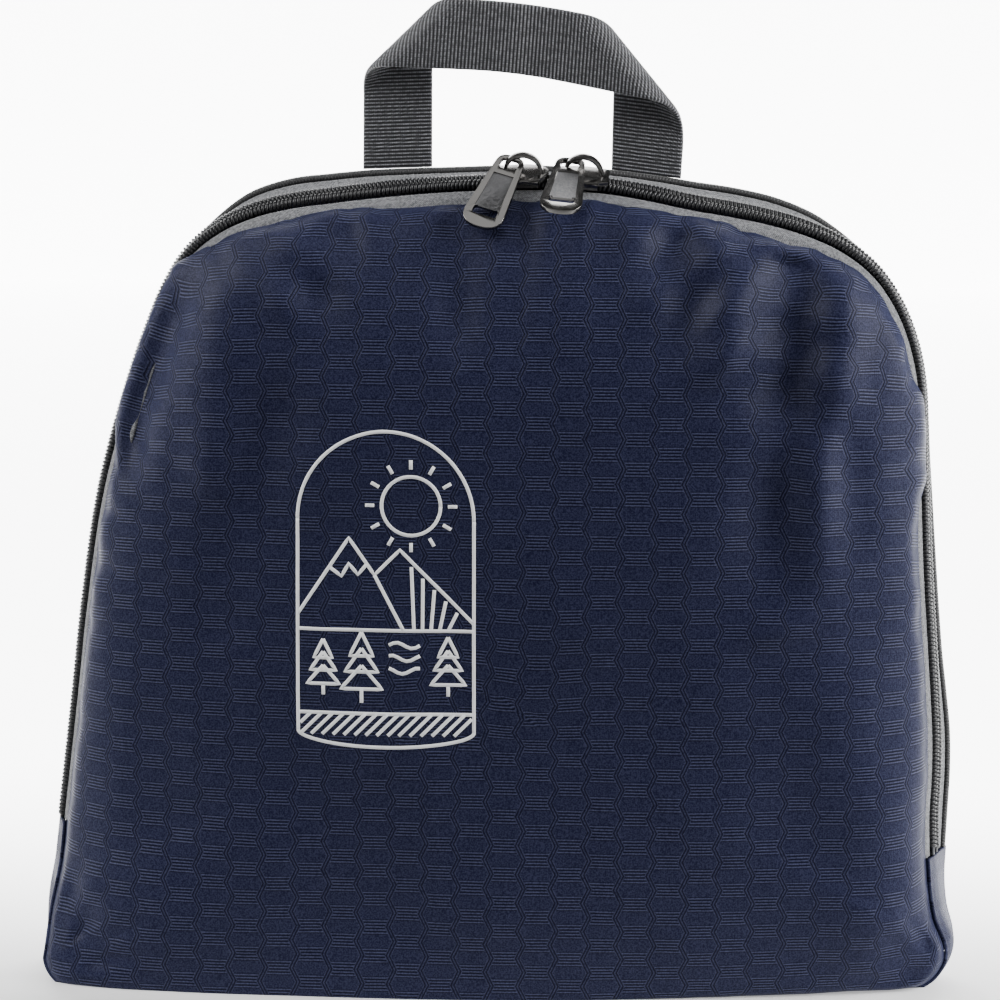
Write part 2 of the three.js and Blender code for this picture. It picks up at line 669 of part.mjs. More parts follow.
function pullGeometry() {
  const recessTop = -EYE_LENGTH / 2 - PULL_RIM;
  const recessBottom = recessTop - RECESS_LENGTH;
  const slotMiddle = recessBottom - SLOT_LENGTH / 2;
  const shape = pullOutline();
  shape.holes.push(
    roundedHole(EYE_WIDTH, EYE_LENGTH, 0, EYE_ROUNDING),
    roundedHole(RECESS_WIDTH, SLOT_LENGTH, slotMiddle, SLOT_ROUNDING),
  );
  const plate = new THREE.ExtrudeGeometry(shape, {
    depth: PULL_THICKNESS,
    bevelEnabled: false,
    curveSegments: PULL_SEGMENTS,
  }).translate(0, 0, -PULL_THICKNESS / 2);
  const face = new THREE.Shape();
  face.moveTo(-RECESS_TOP_WIDTH / 2, recessTop);
  face.lineTo(-RECESS_WIDTH / 2, recessBottom);
  face.lineTo(RECESS_WIDTH / 2, recessBottom);
  face.lineTo(RECESS_TOP_WIDTH / 2, recessTop);
  const recess = new THREE.ExtrudeGeometry(face, { depth: PULL_THICKNESS, bevelEnabled: false });
  recess.translate(0, 0, PULL_THICKNESS / 2 - RECESS_DEPTH);
  const solid = solidOf(plate).subtract(solidOf(recess));
  return geometryFrom(solid).translate(EYE_SHIFT, 0, 0);
}

function mesh(name, geometry, material) {
  const made = new THREE.Mesh(geometry, material);
  made.name = name;
  return made;
}

// A slider on the chain with its pull. facing is 1 where the nose points to +X.
function sliderAndPull(suffix, x, facing, droop, turn) {
  const seat = stationAtX(x);
  const { across, up } = chainFrame(seat);
  const group = new THREE.Group();
  group.applyMatrix4(new THREE.Matrix4().makeBasis(seat.along, across, up).setPosition(seat.point));
  const slider = mesh("slider_" + suffix, sliderGeometry(), GUNMETAL);
  if (facing < 0) slider.rotation.z = Math.PI;
  const hinge = new THREE.Group();
  hinge.position.set(LEG_X, 0, SLIDER_TOP + PULL_HEIGHT);
  hinge.rotation.x = radians(droop);
  const pull = mesh("pull_" + suffix, pullGeometry(), GUNMETAL);
  pull.rotation.z = -radians(turn);
  hinge.add(pull);
  group.add(slider, hinge);
  return group;
}

// The haul loop's top run bends a little in its own plane and runs straight out at both ends. There
// the webbing is folded back along a line at 45 degrees, and a leg goes down behind.
const LOOP_HALF = WEBBING_WIDTH / 2;
const LOOP_EDGES = [-LOOP_HALF, LOOP_HALF];
const LEG_Y = BACK_RIM + WEBBING / 2 + PIECE_GAP;
const RUN_Y = LEG_Y - 2 * FOLD_RADIUS;
const FOLD_RUN = Math.PI * FOLD_RADIUS; // webbing taken up by a fold
const FOLD_SHIFT = FOLD_RUN / Math.SQRT2; // how far a fold shifts its leg outwards
const BEND_FROM = LOOP_LEFT_X + FOLD_SHIFT + LOOP_HALF - LOOP_BEND_X;
const BEND_TO = LOOP_RIGHT_X - FOLD_SHIFT - LOOP_HALF - LOOP_BEND_X;
const legSeat = (x) => gussetPoint(stationAtX(x), BACK_RIM);
const LOOP_TOP = legSeat(LOOP_LEFT_X).z + LOOP_RISE;

// A point of the bent run, a length along it from its highest point and a distance across it.
function bendPoint(length, across) {
  const angle = length / LOOP_BEND_RADIUS;
  const radius = LOOP_BEND_RADIUS + across;
  return new THREE.Vector3(
    LOOP_BEND_X + radius * Math.sin(angle),
    RUN_Y,
    LOOP_TOP - LOOP_BEND_RADIUS + radius * Math.cos(angle),
  );
}

// A corner: where its fold line crosses the webbing, and the ways out to it and beyond it.
function cornerOf(length, side) {
  const angle = length / LOOP_BEND_RADIUS;
  const away = new THREE.Vector3(side * Math.cos(angle), 0, -side * Math.sin(angle));
  const line = away.clone().add(new THREE.Vector3(0, 0, -1)).normalize();
  const beyond = new THREE.Vector3(-side * line.z, 0, side * line.x);
  const upward = new THREE.Vector3(-side * away.z, 0, side * away.x);
  return { away, beyond, upward, at: bendPoint(length, 0).addScaledVector(away, LOOP_HALF) };
}

// The flat webbing's point a distance across it that lies a given distance past the fold line.
function pastFold(corner, distance, across) {
  const edge = corner.at.clone().addScaledVector(corner.upward, across);
  const short = distance - edge.clone().sub(corner.at).dot(corner.beyond);
  return edge.addScaledVector(corner.away, short / corner.away.dot(corner.beyond));
}

// Where that point goes once the webbing beyond the fold line is rolled back.
function rolledBack(corner, distance, across) {
  const point = pastFold(corner, distance, across);
  const turned = distance / FOLD_RADIUS;
  point.addScaledVector(corner.beyond, FOLD_RADIUS * Math.sin(turned) - distance);
  point.y += FOLD_RADIUS * (1 - Math.cos(turned));
  const normal = new THREE.Vector3(0, -Math.cos(turned), 0);
  normal.addScaledVector(corner.beyond, Math.sin(turned));
  return { point, normal };
}

const foldRows = (corner) =>
  steps(WEBBING_FOLD_STEPS).map((s) =>
    LOOP_EDGES.map((across) => rolledBack(corner, s * FOLD_RUN, across)),
  );

// A row of a leg: share 0 is at its fold and share 1 at the binding.
function legRow(corner, seatX, share) {
  const row = LOOP_EDGES.map((across) => rolledBack(corner, FOLD_RUN, across));
  const middle = (row[0].point.x + row[1].point.x) / 2;
  for (const { point } of row) {
    const foot = seatX + point.x - middle;
    point.x = mix(point.x, foot, share);
    point.z = mix(point.z, legSeat(foot).z + PIECE_GAP, share);
  }
  return row;
}

function topRow(left, right, share) {
  return LOOP_EDGES.map((across) => {
    const from = pastFold(left, 0, across);
    const to = pastFold(right, 0, across);
    const length = mix(from.x, to.x, share) - LOOP_BEND_X;
    const point = bendPoint(Math.max(BEND_FROM, Math.min(BEND_TO, length)), across);
    point.addScaledVector(left.away, Math.max(0, BEND_FROM - length));
    point.addScaledVector(right.away, Math.max(0, length - BEND_TO));
    return { point, normal: new THREE.Vector3(0, -1, 0) };
  });
}

function haulLoop() {
  const left = cornerOf(BEND_FROM, -1);
  const right = cornerOf(BEND_TO, 1);
  const rows = [
    legRow(left, LOOP_LEFT_X, 1),
    legRow(left, LOOP_LEFT_X, 0.5),
    ...foldRows(left).reverse(),
    ...steps(WEBBING_RUN_STEPS).slice(1, -1).map((s) => topRow(left, right, s)),
    ...foldRows(right),
    legRow(right, LOOP_RIGHT_X, 0.5),
    legRow(right, LOOP_RIGHT_X, 1),
  ];
  const rings = rows.map(([low, high]) => {
    const face = ({ point, normal }, side) =>
      point.clone().addScaledVector(normal, (side * WEBBING) / 2);
    return [face(low, -1), face(high, -1), face(high, 1), face(low, 1)];
  });
  return ringSolid(rings);
}

function packedBackpack() {
  const group = new THREE.Group();
  group.add(
    mesh("front_panel", frontPanel(), NAVY),
    mesh("back_panel", backPanel(), NAVY),
    mesh("base_gusset", baseGusset(), NAVY),
    mesh("zipper_tape_front", tapeFront(), GREY_TAPE),
    mesh("zipper_tape_back", tapeBack(), GREY_TAPE),
    mesh("zipper_coil_front", coilRow(-1), BLACK),
    mesh("zipper_coil_back", coilRow(1), BLACK),
    mesh("rim_binding", rimBinding(), BLACK),
    mesh("grab_handle", haulLoop(), GREY_WEBBING),
    mesh("stowed_bag", stowedBag(), NAVY),
    sliderAndPull("left", SLIDER_LEFT_X, 1, LEFT_PULL_DROOP, LEFT_PULL_TURN),
    sliderAndPull("right", SLIDER_RIGHT_X, -1, RIGHT_PULL_DROOP, RIGHT_PULL_TURN),
  );
  group.updateMatrixWorld(true);
  const box = new THREE.Box3().setFromObject(group, true);
  group.position.set(-(box.min.x + box.max.x) / 2, -(box.min.y + box.max.y) / 2, -box.min.z);
  return group;
}

export default packedBackpack();
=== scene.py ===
# %% [markdown]
# # A packable backpack, folded into its own pouch
#
# The pouch is an arch of navy ripstop stuffed with the rest of the bag. A coil zip runs over it from
# one lower corner to the other, and a loop of flat webbing stands behind the zip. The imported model
# gives every place and size, so the first cell loads it and keeps the size of its box.

import json
import math

import bmesh
import bpy
import numpy as np
from mathutils import Matrix, Vector, noise
from mathutils.bvhtree import BVHTree


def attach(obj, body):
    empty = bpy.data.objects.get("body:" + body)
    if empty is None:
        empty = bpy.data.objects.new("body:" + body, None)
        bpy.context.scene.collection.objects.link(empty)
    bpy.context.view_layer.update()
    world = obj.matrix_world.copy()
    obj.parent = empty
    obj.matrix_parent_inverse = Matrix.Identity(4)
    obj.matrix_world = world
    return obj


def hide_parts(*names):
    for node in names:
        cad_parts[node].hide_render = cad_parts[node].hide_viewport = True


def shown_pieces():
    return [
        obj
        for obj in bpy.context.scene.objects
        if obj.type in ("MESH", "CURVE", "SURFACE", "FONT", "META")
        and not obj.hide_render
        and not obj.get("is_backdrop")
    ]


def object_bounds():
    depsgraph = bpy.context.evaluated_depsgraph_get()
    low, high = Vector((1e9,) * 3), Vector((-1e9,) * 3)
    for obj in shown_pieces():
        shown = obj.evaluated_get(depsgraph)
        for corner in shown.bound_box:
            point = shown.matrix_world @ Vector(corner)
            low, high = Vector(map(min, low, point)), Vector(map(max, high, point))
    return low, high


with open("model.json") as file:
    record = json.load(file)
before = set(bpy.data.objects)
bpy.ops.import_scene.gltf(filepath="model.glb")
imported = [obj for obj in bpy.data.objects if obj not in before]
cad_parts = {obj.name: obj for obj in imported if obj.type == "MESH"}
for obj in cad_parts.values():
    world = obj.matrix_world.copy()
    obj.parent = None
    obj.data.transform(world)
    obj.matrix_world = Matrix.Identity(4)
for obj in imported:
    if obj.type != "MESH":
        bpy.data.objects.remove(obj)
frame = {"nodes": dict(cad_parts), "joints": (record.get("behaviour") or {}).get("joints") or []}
cad_box = [list(corner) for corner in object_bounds()]
MM = 0.001
low, high = (Vector(corner) for corner in cad_box)
print("the packed model is", [round(side / MM, 1) for side in high - low], "mm")

# %% [markdown]
# ## Camera and light
#
# The photograph was taken from a little above and a little to the right with a long lens, so the
# sides hardly converge. The cloth is lit from both sides: its flanks are bright and its middle is
# dark. Two large soft lights beside the pouch do that, a weak one above shows the gathers, and a pale
# world fills the rest.

# %% Camera
TARGET = Vector((0.0011, 0, 0.1346))
AZIMUTH, ELEVATION, DISTANCE = math.radians(4.5), math.radians(10), 1.1


def toward(azimuth, elevation):
    """The direction from the object to a place that looks at it."""
    flat = math.cos(elevation)
    return Vector((math.sin(azimuth) * flat, -math.cos(azimuth) * flat, math.sin(elevation)))


def aimed(thing, place, target):
    thing.location = place
    thing.rotation_euler = (place - target).to_track_quat("Z", "Y").to_euler()
    bpy.context.scene.collection.objects.link(thing)
    return thing


camera_data = bpy.data.cameras.new("camera")
camera_data.lens, camera_data.sensor_width = 144, 36
camera = aimed(
    bpy.data.objects.new("camera", camera_data),
    TARGET + toward(AZIMUTH, ELEVATION) * DISTANCE,
    TARGET,
)
bpy.context.scene.camera = camera

# %% Soft lights and a pale floor
LIGHTS = [
    {"name": "left_light", "azimuth": -76, "elevation": 34, "away": 0.8, "size": 0.5, "watts": 6.8},
    {"name": "right_light", "azimuth": 82, "elevation": 24, "away": 0.9, "size": 0.6, "watts": 14.5},
    {"name": "top_light", "azimuth": -10, "elevation": 64, "away": 0.62, "size": 0.5, "watts": 1.0},
]
for row in LIGHTS:
    light = bpy.data.lights.new(row["name"], "AREA")
    light.size, light.energy = row["size"], row["watts"]
    angles = math.radians(row["azimuth"]), math.radians(row["elevation"])
    aimed(bpy.data.objects.new(row["name"], light), TARGET + toward(*angles) * row["away"], TARGET)

world = bpy.data.worlds.new("studio")
world.use_nodes = True
world.node_tree.nodes["Background"].inputs["Color"].default_value = (1, 1, 1, 1)
world.node_tree.nodes["Background"].inputs["Strength"].default_value = 0.06
bpy.context.scene.world = world

# %% [markdown]
# Behind the pouch stands a lit white wall, as in a studio, and the floor grows as bright as the wall
# on its way there. That gives the white ground of the photograph and a thin bright rim along the
# cloth. The floor in front is darker, so the foot of the pouch stays dark.

# %% Floor and lit wall
WALL_AWAY, WALL_SIZE, WALL_GLOW = 1.6, 2.2, 6.5
FLOOR_FADE = (-0.06, 0.25)
FLOOR_SHADE = (-0.25, 0.02)


def stage_plane(name, size, matrix):
    bm = bmesh.new()
    bmesh.ops.create_grid(bm, x_segments=1, y_segments=1, size=size / 2, matrix=matrix)
    mesh = bpy.data.meshes.new(name)
    bm.to_mesh(mesh)
    bm.free()
    plane = bpy.data.objects.new(name, mesh)
    bpy.context.scene.collection.objects.link(plane)
    plane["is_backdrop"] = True
    return plane


floor = stage_plane("floor", 2 * WALL_SIZE, Matrix())
wall_place = Matrix.Translation((0, WALL_AWAY, WALL_SIZE / 2)) @ Matrix.Rotation(math.pi / 2, 4, "X")
wall = stage_plane("wall", WALL_SIZE, wall_place)

# %% [markdown]
# ## Building materials from small parts
#
# Cloth patterns are sums: a zigzag here, a stripe there. A small class that adds one node at a time
# and takes either a plain number or another node's output keeps each pattern readable.


# %% A helper for node materials
class Finish:
    def __init__(self, name, color, roughness, metallic=0.0, sheen=0.0):
        self.material = bpy.data.materials.new(name)
        self.material.use_nodes = True
        self.material.diffuse_color = (*color, 1)
        self.tree = self.material.node_tree
        self.shader = self.tree.nodes["Principled BSDF"]
        self.shader.inputs["Base Color"].default_value = (*color, 1)
        self.shader.inputs["Roughness"].default_value = roughness
        self.shader.inputs["Metallic"].default_value = metallic
        self.shader.inputs["Sheen Weight"].default_value = sheen

    def node(self, kind, **settings):
        made = self.tree.nodes.new(kind)
        for key, value in settings.items():
            setattr(made, key, value)
        return made

    def feed(self, socket, value):
        if isinstance(value, bpy.types.NodeSocket):
            self.tree.links.new(value, socket)
        else:
            socket.default_value = value

    def math(self, operation, *values):
        made = self.node("ShaderNodeMath", operation=operation)
        for socket, value in zip(made.inputs, values):
            self.feed(socket, value)
        return made.outputs[0]

    def ramp(self, value, start, end, low=0.0, high=1.0):
        """low up to start, high from end, and smooth between them."""
        made = self.node("ShaderNodeMapRange", interpolation_type="SMOOTHSTEP")
        for socket, number in zip(made.inputs, (value, start, end, low, high)):
            self.feed(socket, number)
        return made.outputs[0]

    def mix(self, share, first, second):
        made = self.node("ShaderNodeMix", data_type="RGBA")
        self.feed(made.inputs[0], share)
        for socket, color in ((made.inputs[6], first), (made.inputs[7], second)):
            self.feed(socket, color if isinstance(color, bpy.types.NodeSocket) else (*color, 1))
        return made.outputs[2]

    def noise(self, scale, detail=3.0):
        made = self.node("ShaderNodeTexNoise")
        made.inputs["Scale"].default_value = scale
        made.inputs["Detail"].default_value = detail
        self.feed(made.inputs["Vector"], self.node("ShaderNodeTexCoord").outputs["Object"])
        return made.outputs["Fac"]

    def flat(self):
        """How far along and across its cloth a point lies, in millimetres."""
        place = self.node("ShaderNodeUVMap", uv_map="flat")
        split = self.node("ShaderNodeSeparateXYZ")
        self.feed(split.inputs[0], place.outputs[0])
        return [self.math("MULTIPLY", split.outputs[i], 1 / MM) for i in (0, 1)]

    def stripe(self, value, pitch, thin, wide):
        """1 on lines that lie a pitch apart, falling to 0 between half widths thin and wide."""
        return self.ramp(self.math("PINGPONG", value, pitch / 2), thin, wide, 1.0, 0.0)

    def bump(self, height, distance, strength=1.0):
        made = self.node("ShaderNodeBump")
        made.inputs["Strength"].default_value = strength
        made.inputs["Distance"].default_value = distance
        self.feed(made.inputs["Height"], height)
        self.feed(self.shader.inputs["Normal"], made.outputs[0])


# %% [markdown]
# ## The cloth
#
# The ripstop is woven with a honeycomb: dark double zigzags run down it, and each second one mirrors
# its neighbours. Where two come close, five thicker threads cross between them. Part of the zigzags'
# dark is painted shade in their grooves, and part of the threads' paleness is a painted sheen. It is
# drawn from the cloth's own flat coordinates, so it follows every fold.

# %% Navy honeycomb ripstop
ZIGZAG_PITCH, ZIGZAG_PERIOD, ZIGZAG_SWING = 8.9, 8.0, 1.9
LINE_AWAY, EDGE_AWAY = 0.42, 0.82  # a zigzag's two dark lines and its pale edges, from its middle
BUNDLE_HALF, THREAD_PITCH, PICK_PITCH = 2.0, 0.86, 0.62
NAVY_BASE = (0.0058, 0.007, 0.028)
NAVY_DARK = (0.0018, 0.002, 0.01)
NAVY_THREAD = (0.062, 0.069, 0.136)


def make_ripstop():
    f = Finish("navy_ripstop", NAVY_BASE, 0.5, sheen=0.06)
    f.shader.inputs["Sheen Roughness"].default_value = 0.4
    f.shader.inputs["Sheen Tint"].default_value = (0.45, 0.55, 1.0, 1)
    f.shader.inputs["Specular IOR Level"].default_value = 0.12
    u, v = f.flat()
    share = f.math("DIVIDE", u, ZIGZAG_PITCH)
    wave = f.math("PINGPONG", v, ZIGZAG_PERIOD / 2)
    wave = f.math("MULTIPLY_ADD", wave, 4 / ZIGZAG_PERIOD, -1.0)
    turn = {}
    for kind in ("ROUND", "FLOOR"):
        number = f.math(kind, share)
        odd = f.math("FLOORED_MODULO", number, 2.0)
        turn[kind] = number, f.math("MULTIPLY", wave, f.math("MULTIPLY_ADD", odd, -2.0, 1.0))
    number, swing = turn["ROUND"]
    middle = f.math("MULTIPLY_ADD", number, ZIGZAG_PITCH, f.math("MULTIPLY", swing, ZIGZAG_SWING / 2))
    away = f.math("ABSOLUTE", f.math("SUBTRACT", u, middle))
    zigzag = f.ramp(f.math("ABSOLUTE", f.math("SUBTRACT", away, LINE_AWAY)), 0.08, 0.24, 1.0, 0.0)
    beside = f.ramp(f.math("ABSOLUTE", f.math("SUBTRACT", away, EDGE_AWAY)), 0.05, 0.2, 1.0, 0.0)
    beside = f.math("MAXIMUM", beside, f.ramp(away, 0.05, 0.18, 1.0, 0.0))
    narrow = turn["FLOOR"][1]
    from_narrow = f.math("MULTIPLY_ADD", narrow, -ZIGZAG_PERIOD / 4, ZIGZAG_PERIOD / 4)
    threads = f.stripe(from_narrow, THREAD_PITCH, 0.06, 0.25)
    gaps = f.stripe(f.math("ADD", from_narrow, THREAD_PITCH / 2), THREAD_PITCH, 0.08, 0.27)
    bundle = f.ramp(from_narrow, BUNDLE_HALF, BUNDLE_HALF + 0.35, 1.0, 0.0)
    bundle = f.math("MULTIPLY", bundle, f.ramp(away, 0.8, 1.0))
    threads, gaps = f.math("MULTIPLY", threads, bundle), f.math("MULTIPLY", gaps, bundle)
    picks = f.math("MULTIPLY", f.stripe(u, PICK_PITCH, 0.05, 0.3), f.stripe(v, PICK_PITCH, 0.05, 0.3))
    speckle = f.ramp(f.noise(2300.0, 2.0), 0.3, 0.7)
    color = f.mix(f.math("MULTIPLY", speckle, 0.4), NAVY_BASE, NAVY_THREAD)
    # Painted shade: the zigzag grooves and the gaps between threads are darkened towards NAVY_DARK, on
    # top of the weave's own dark line.
    color = f.mix(f.math("MULTIPLY", f.math("MAXIMUM", zigzag, gaps), 0.85), color, NAVY_DARK)
    # Painted sheen: the raised threads and the zigzags' pale edges and middles are lightened towards
    # NAVY_THREAD, partly the yarn's own paler tone.
    thread_tone_and_sheen = f.math("MAXIMUM", threads, f.math("MULTIPLY", beside, 0.45))
    thread_tone_and_sheen = f.math("MULTIPLY", thread_tone_and_sheen, f.math("MULTIPLY_ADD", speckle, 0.6, 0.4))
    f.feed(f.shader.inputs["Base Color"], f.mix(thread_tone_and_sheen, color, NAVY_THREAD))
    f.feed(f.shader.inputs["Roughness"], f.math("MULTIPLY_ADD", threads, -0.12, 0.5))
    height = f.math("MULTIPLY_ADD", zigzag, -0.8, f.math("MULTIPLY_ADD", picks, 0.25, threads))
    f.bump(height, 0.00008, 0.8)
    return f.material


ripstop = make_ripstop()

# %% [markdown]
# ## Tape, coil, binding, webbing and metal
#
# The zip's tape is a grey twill with fine slanting ribs. The coil and the binding are black. The
# webbing has thick ribs across it, dark between and pale where each yarn comes up. The sliders and
# pulls are plated steel, polished on the rim and brushed dull in the sunk face.


# %% The other finishes
def make_tape():
    f = Finish("grey_twill_tape", (0.16, 0.165, 0.18), 0.75, sheen=0.3)
    u, v = f.flat()
    slant = f.stripe(f.math("ADD", u, v), 0.62, 0.06, 0.3)
    yarn = f.stripe(f.math("SUBTRACT", v, f.math("MULTIPLY", u, 0.4)), 0.36, 0.03, 0.18)
    weave = f.math("MULTIPLY", slant, f.math("MULTIPLY_ADD", yarn, 0.5, 0.5))
    grain = f.ramp(f.noise(1500.0, 3.0), 0.3, 0.7)
    weave = f.math("MULTIPLY_ADD", grain, 0.6, f.math("MULTIPLY", weave, 0.5))
    f.feed(f.shader.inputs["Base Color"], f.mix(weave, (0.03, 0.032, 0.038), (0.27, 0.275, 0.29)))
    f.bump(weave, 0.0002, 1.0)
    return f.material


def make_coil():
    f = Finish("black_coil", (0.012, 0.012, 0.014), 0.34)
    grain = f.noise(700.0, 2.0)
    f.feed(f.shader.inputs["Roughness"], f.ramp(grain, 0.3, 0.7, 0.28, 0.42))
    f.bump(grain, 0.00003, 0.4)
    return f.material


def make_binding():
    f = Finish("black_binding", (0.011, 0.011, 0.013), 0.6, sheen=0.25)
    u, _ = f.flat()
    rib = f.stripe(u, 0.9, 0.08, 0.42)
    f.feed(f.shader.inputs["Base Color"], f.mix(rib, (0.003, 0.003, 0.004), (0.018, 0.018, 0.02)))
    f.bump(rib, 0.0002, 0.9)
    return f.material


RIB_PITCH, YARN_PITCH = 1.0, 0.62


def make_webbing():
    f = Finish("grey_webbing", (0.05, 0.052, 0.06), 0.62, sheen=0.3)
    u, v = f.flat()
    rib = f.stripe(u, RIB_PITCH, 0.08, 0.3)
    yarn = f.stripe(v, YARN_PITCH, 0.1, 0.3)
    weave = f.math("MULTIPLY", rib, f.math("MULTIPLY_ADD", yarn, 0.5, 0.5))
    weave = f.math("MULTIPLY", weave, f.ramp(f.noise(1300.0, 2.0), 0.3, 0.65, 0.4, 1.0))
    f.feed(f.shader.inputs["Base Color"], f.mix(weave, (0.005, 0.005, 0.007), (0.3, 0.305, 0.335)))
    f.bump(weave, 0.00025, 0.8)
    return f.material


def make_metal(name, color, rough, fine):
    f = Finish(name, color, rough, metallic=1.0)
    cloud = f.noise(fine, 3.0)
    f.feed(f.shader.inputs["Roughness"], f.ramp(cloud, 0.3, 0.7, rough * 0.8, rough * 1.25))
    f.bump(cloud, 0.00002, 0.25)
    return f.material


tape_cloth, coil_nylon, binding_cloth = make_tape(), make_coil(), make_binding()
webbing_cloth = make_webbing()
gunmetal = make_metal("polished_gunmetal", (0.19, 0.185, 0.18), 0.2, 400.0)
gunmetal_dull = make_metal("dull_gunmetal", (0.17, 0.17, 0.175), 0.6, 1800.0)
thread_finish = Finish("dark_thread", (0.02, 0.022, 0.03), 0.7, sheen=0.3)
thread_finish.bump(thread_finish.noise(3000.0), 0.00003)
thread = thread_finish.material
print(len(bpy.data.materials), "finishes")

# %% [markdown]
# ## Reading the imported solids
#
# Each soft solid is a grid of points that went once round an arch or a panel. Merging the doubles of
# a copy and sorting its points by their angle about the pouch's middle gives the grid back, so every
# fine piece is spun over exactly the shape that was packed.

# %% Rows of points from a solid
def cad_copy(node):
    bm = bmesh.new()
    bm.from_mesh(frame["nodes"][node].data)
    bmesh.ops.remove_doubles(bm, verts=bm.verts[:], dist=1e-6)
    return bm


def fullest_point(bm, facing):
    """The point where all the rays of a panel meet, on its outer face."""
    return max(bm.verts, key=lambda v: (len(v.link_edges), facing * v.co.y))


bm = cad_copy("front_panel")
MIDDLE = fullest_point(bm, -1).co.copy()
MIDDLE.y = 0
bm.free()


def arch_angle(point, down=False):
    rise = point.z - MIDDLE.z
    return math.atan2(point.x, -rise if down else rise)


def cross_rows(node, count, down=False):
    """The solid's cross sections of count points each, in order round the pouch."""
    bm = cad_copy(node)
    points = []
    for vertex in bm.verts:
        around = [edge.other_vert(vertex).co for edge in vertex.link_edges]
        mean = sum(around, Vector()) / len(around)
        if (mean - vertex.co).length > 1e-6:
            points.append(vertex.co.copy())
    bm.free()
    points.sort(key=lambda p: arch_angle(p, down))
    return [points[i : i + count] for i in range(0, len(points), count)]


def outer_rows(node, count, down=False):
    """Only the outer face of a strip of cloth, each row from front to back."""
    rows = []
    for row in cross_rows(node, 2 * count, down):
        row.sort(key=lambda p: p.y)
        pairs = zip(row[::2], row[1::2])
        rows.append([max(pair, key=lambda p: (p - MIDDLE).length) for pair in pairs])
    return np.array(rows)


def dome_rows(node, facing):
    """A panel's outer rings from its fullest point to its seam, each in order round it."""
    bm = cad_copy(node)
    pole = fullest_point(bm, facing)
    layers, ring, seen = [], {pole}, {pole}
    while ring:
        layers.append(sorted((v.co.copy() for v in ring), key=arch_angle))
        ring = {edge.other_vert(v) for v in ring for edge in v.link_edges} - seen
        seen |= ring
    bm.free()
    outer = layers[: len(layers) // 2]
    outer[0] = outer[0] * len(outer[1])
    return np.array(outer)


def spline(values, shares, closed=False):
    """Points of the smooth curve through rows of values, at shares 0 to 1 of the way."""
    values = np.asarray(values, float)
    spans = len(values) - (0 if closed else 1)
    place = np.clip(np.asarray(shares, float), 0, 1) * spans
    first = np.minimum(place.astype(int), spans - 1)
    t = (place - first).reshape(-1, *[1] * (values.ndim - 1))

    def row(step):
        index = first + step
        return values[index % len(values) if closed else np.clip(index, 0, len(values) - 1)]

    a, b, c, d = row(-1), row(0), row(1), row(2)
    squared, cubed = 2 * a - 5 * b + 4 * c - d, 3 * b - a - 3 * c + d
    return 0.5 * (2 * b + (c - a) * t + squared * t**2 + cubed * t**3)


def unit(vectors):
    return vectors / np.linalg.norm(vectors, axis=-1, keepdims=True)


def lengths(points, axis=0):
    """How far each point lies along its row from the row's start."""
    steps = np.linalg.norm(np.diff(points, axis=axis), axis=-1)
    start = np.zeros_like(np.take(steps, [0], axis=axis))
    return np.concatenate([start, np.cumsum(steps, axis=axis)], axis=axis)


front_rows = dome_rows("front_panel", -1)
print("front panel:", front_rows.shape[0], "rings of", front_rows.shape[1], "points")


# %% [markdown]
# ## Making a piece
#
# A cloth is a grid, bent. The operator makes the grid and its flat coordinates, and then every point
# goes to its place. The seams where the grid meets itself are welded.


# %% Grid to piece
def finish_piece(name, bm, finishes, body="pouch", replaces=()):
    mesh = bpy.data.meshes.new(name)
    bm.to_mesh(mesh)
    bm.free()
    for finish in finishes:
        mesh.materials.append(finish)
    mesh.polygons.foreach_set("use_smooth", [True] * len(mesh.polygons))
    piece = bpy.data.objects.new(name, mesh)
    bpy.context.scene.collection.objects.link(piece)
    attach(piece, body)
    if replaces:
        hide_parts(*replaces)
    return piece


def bent_grid(points, flat, inside_out=False):
    """A mesh over rows of points. flat holds the cloth's own coordinates of each, in metres."""
    rows, columns = points.shape[:2]
    bm = bmesh.new()
    layer = bm.loops.layers.uv.new("flat")
    bmesh.ops.create_grid(bm, x_segments=columns - 1, y_segments=rows - 1, size=1, calc_uvs=True)
    place = {}
    for vertex in bm.verts:
        column = round((vertex.co.x + 1) / 2 * (columns - 1))
        row = round((vertex.co.y + 1) / 2 * (rows - 1))
        place[vertex] = row, column
        vertex.co = Vector(points[row, column])
    for face in bm.faces:
        for loop in face.loops:
            loop[layer].uv = flat[place[loop.vert]]
    if inside_out:
        bmesh.ops.reverse_faces(bm, faces=bm.faces[:])
    bmesh.ops.remove_doubles(bm, verts=bm.verts[:], dist=1e-6)
    return bm


def add_modifier(piece, kind, **settings):
    made = piece.modifiers.new(kind.lower(), kind)
    for key, value in settings.items():
        setattr(made, key, value)


# %% [markdown]
# ## The front of the pouch
#
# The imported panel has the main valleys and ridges. The fine cloth adds what the sewing does to it:
# small gathers that start at the zip and fade out down the cloth, an edge that wanders over the
# tape, and soft dents from what is stuffed behind it. Every wave starts at the seam, because that is
# where the longer edge of the cloth is eased into the shorter one.

# %% The front's fine grid
COLUMNS_PER_STATION, ROWS_PER_RING = 6, 6


def fine_dome(rings):
    rows, stations = rings.shape[:2]
    across = spline(rings, np.linspace(0, 1, (rows - 1) * ROWS_PER_RING + 1))
    turned = np.swapaxes(across, 0, 1)
    around = spline(turned, np.linspace(0, 1, stations * COLUMNS_PER_STATION + 1), closed=True)
    return np.swapaxes(around, 0, 1)


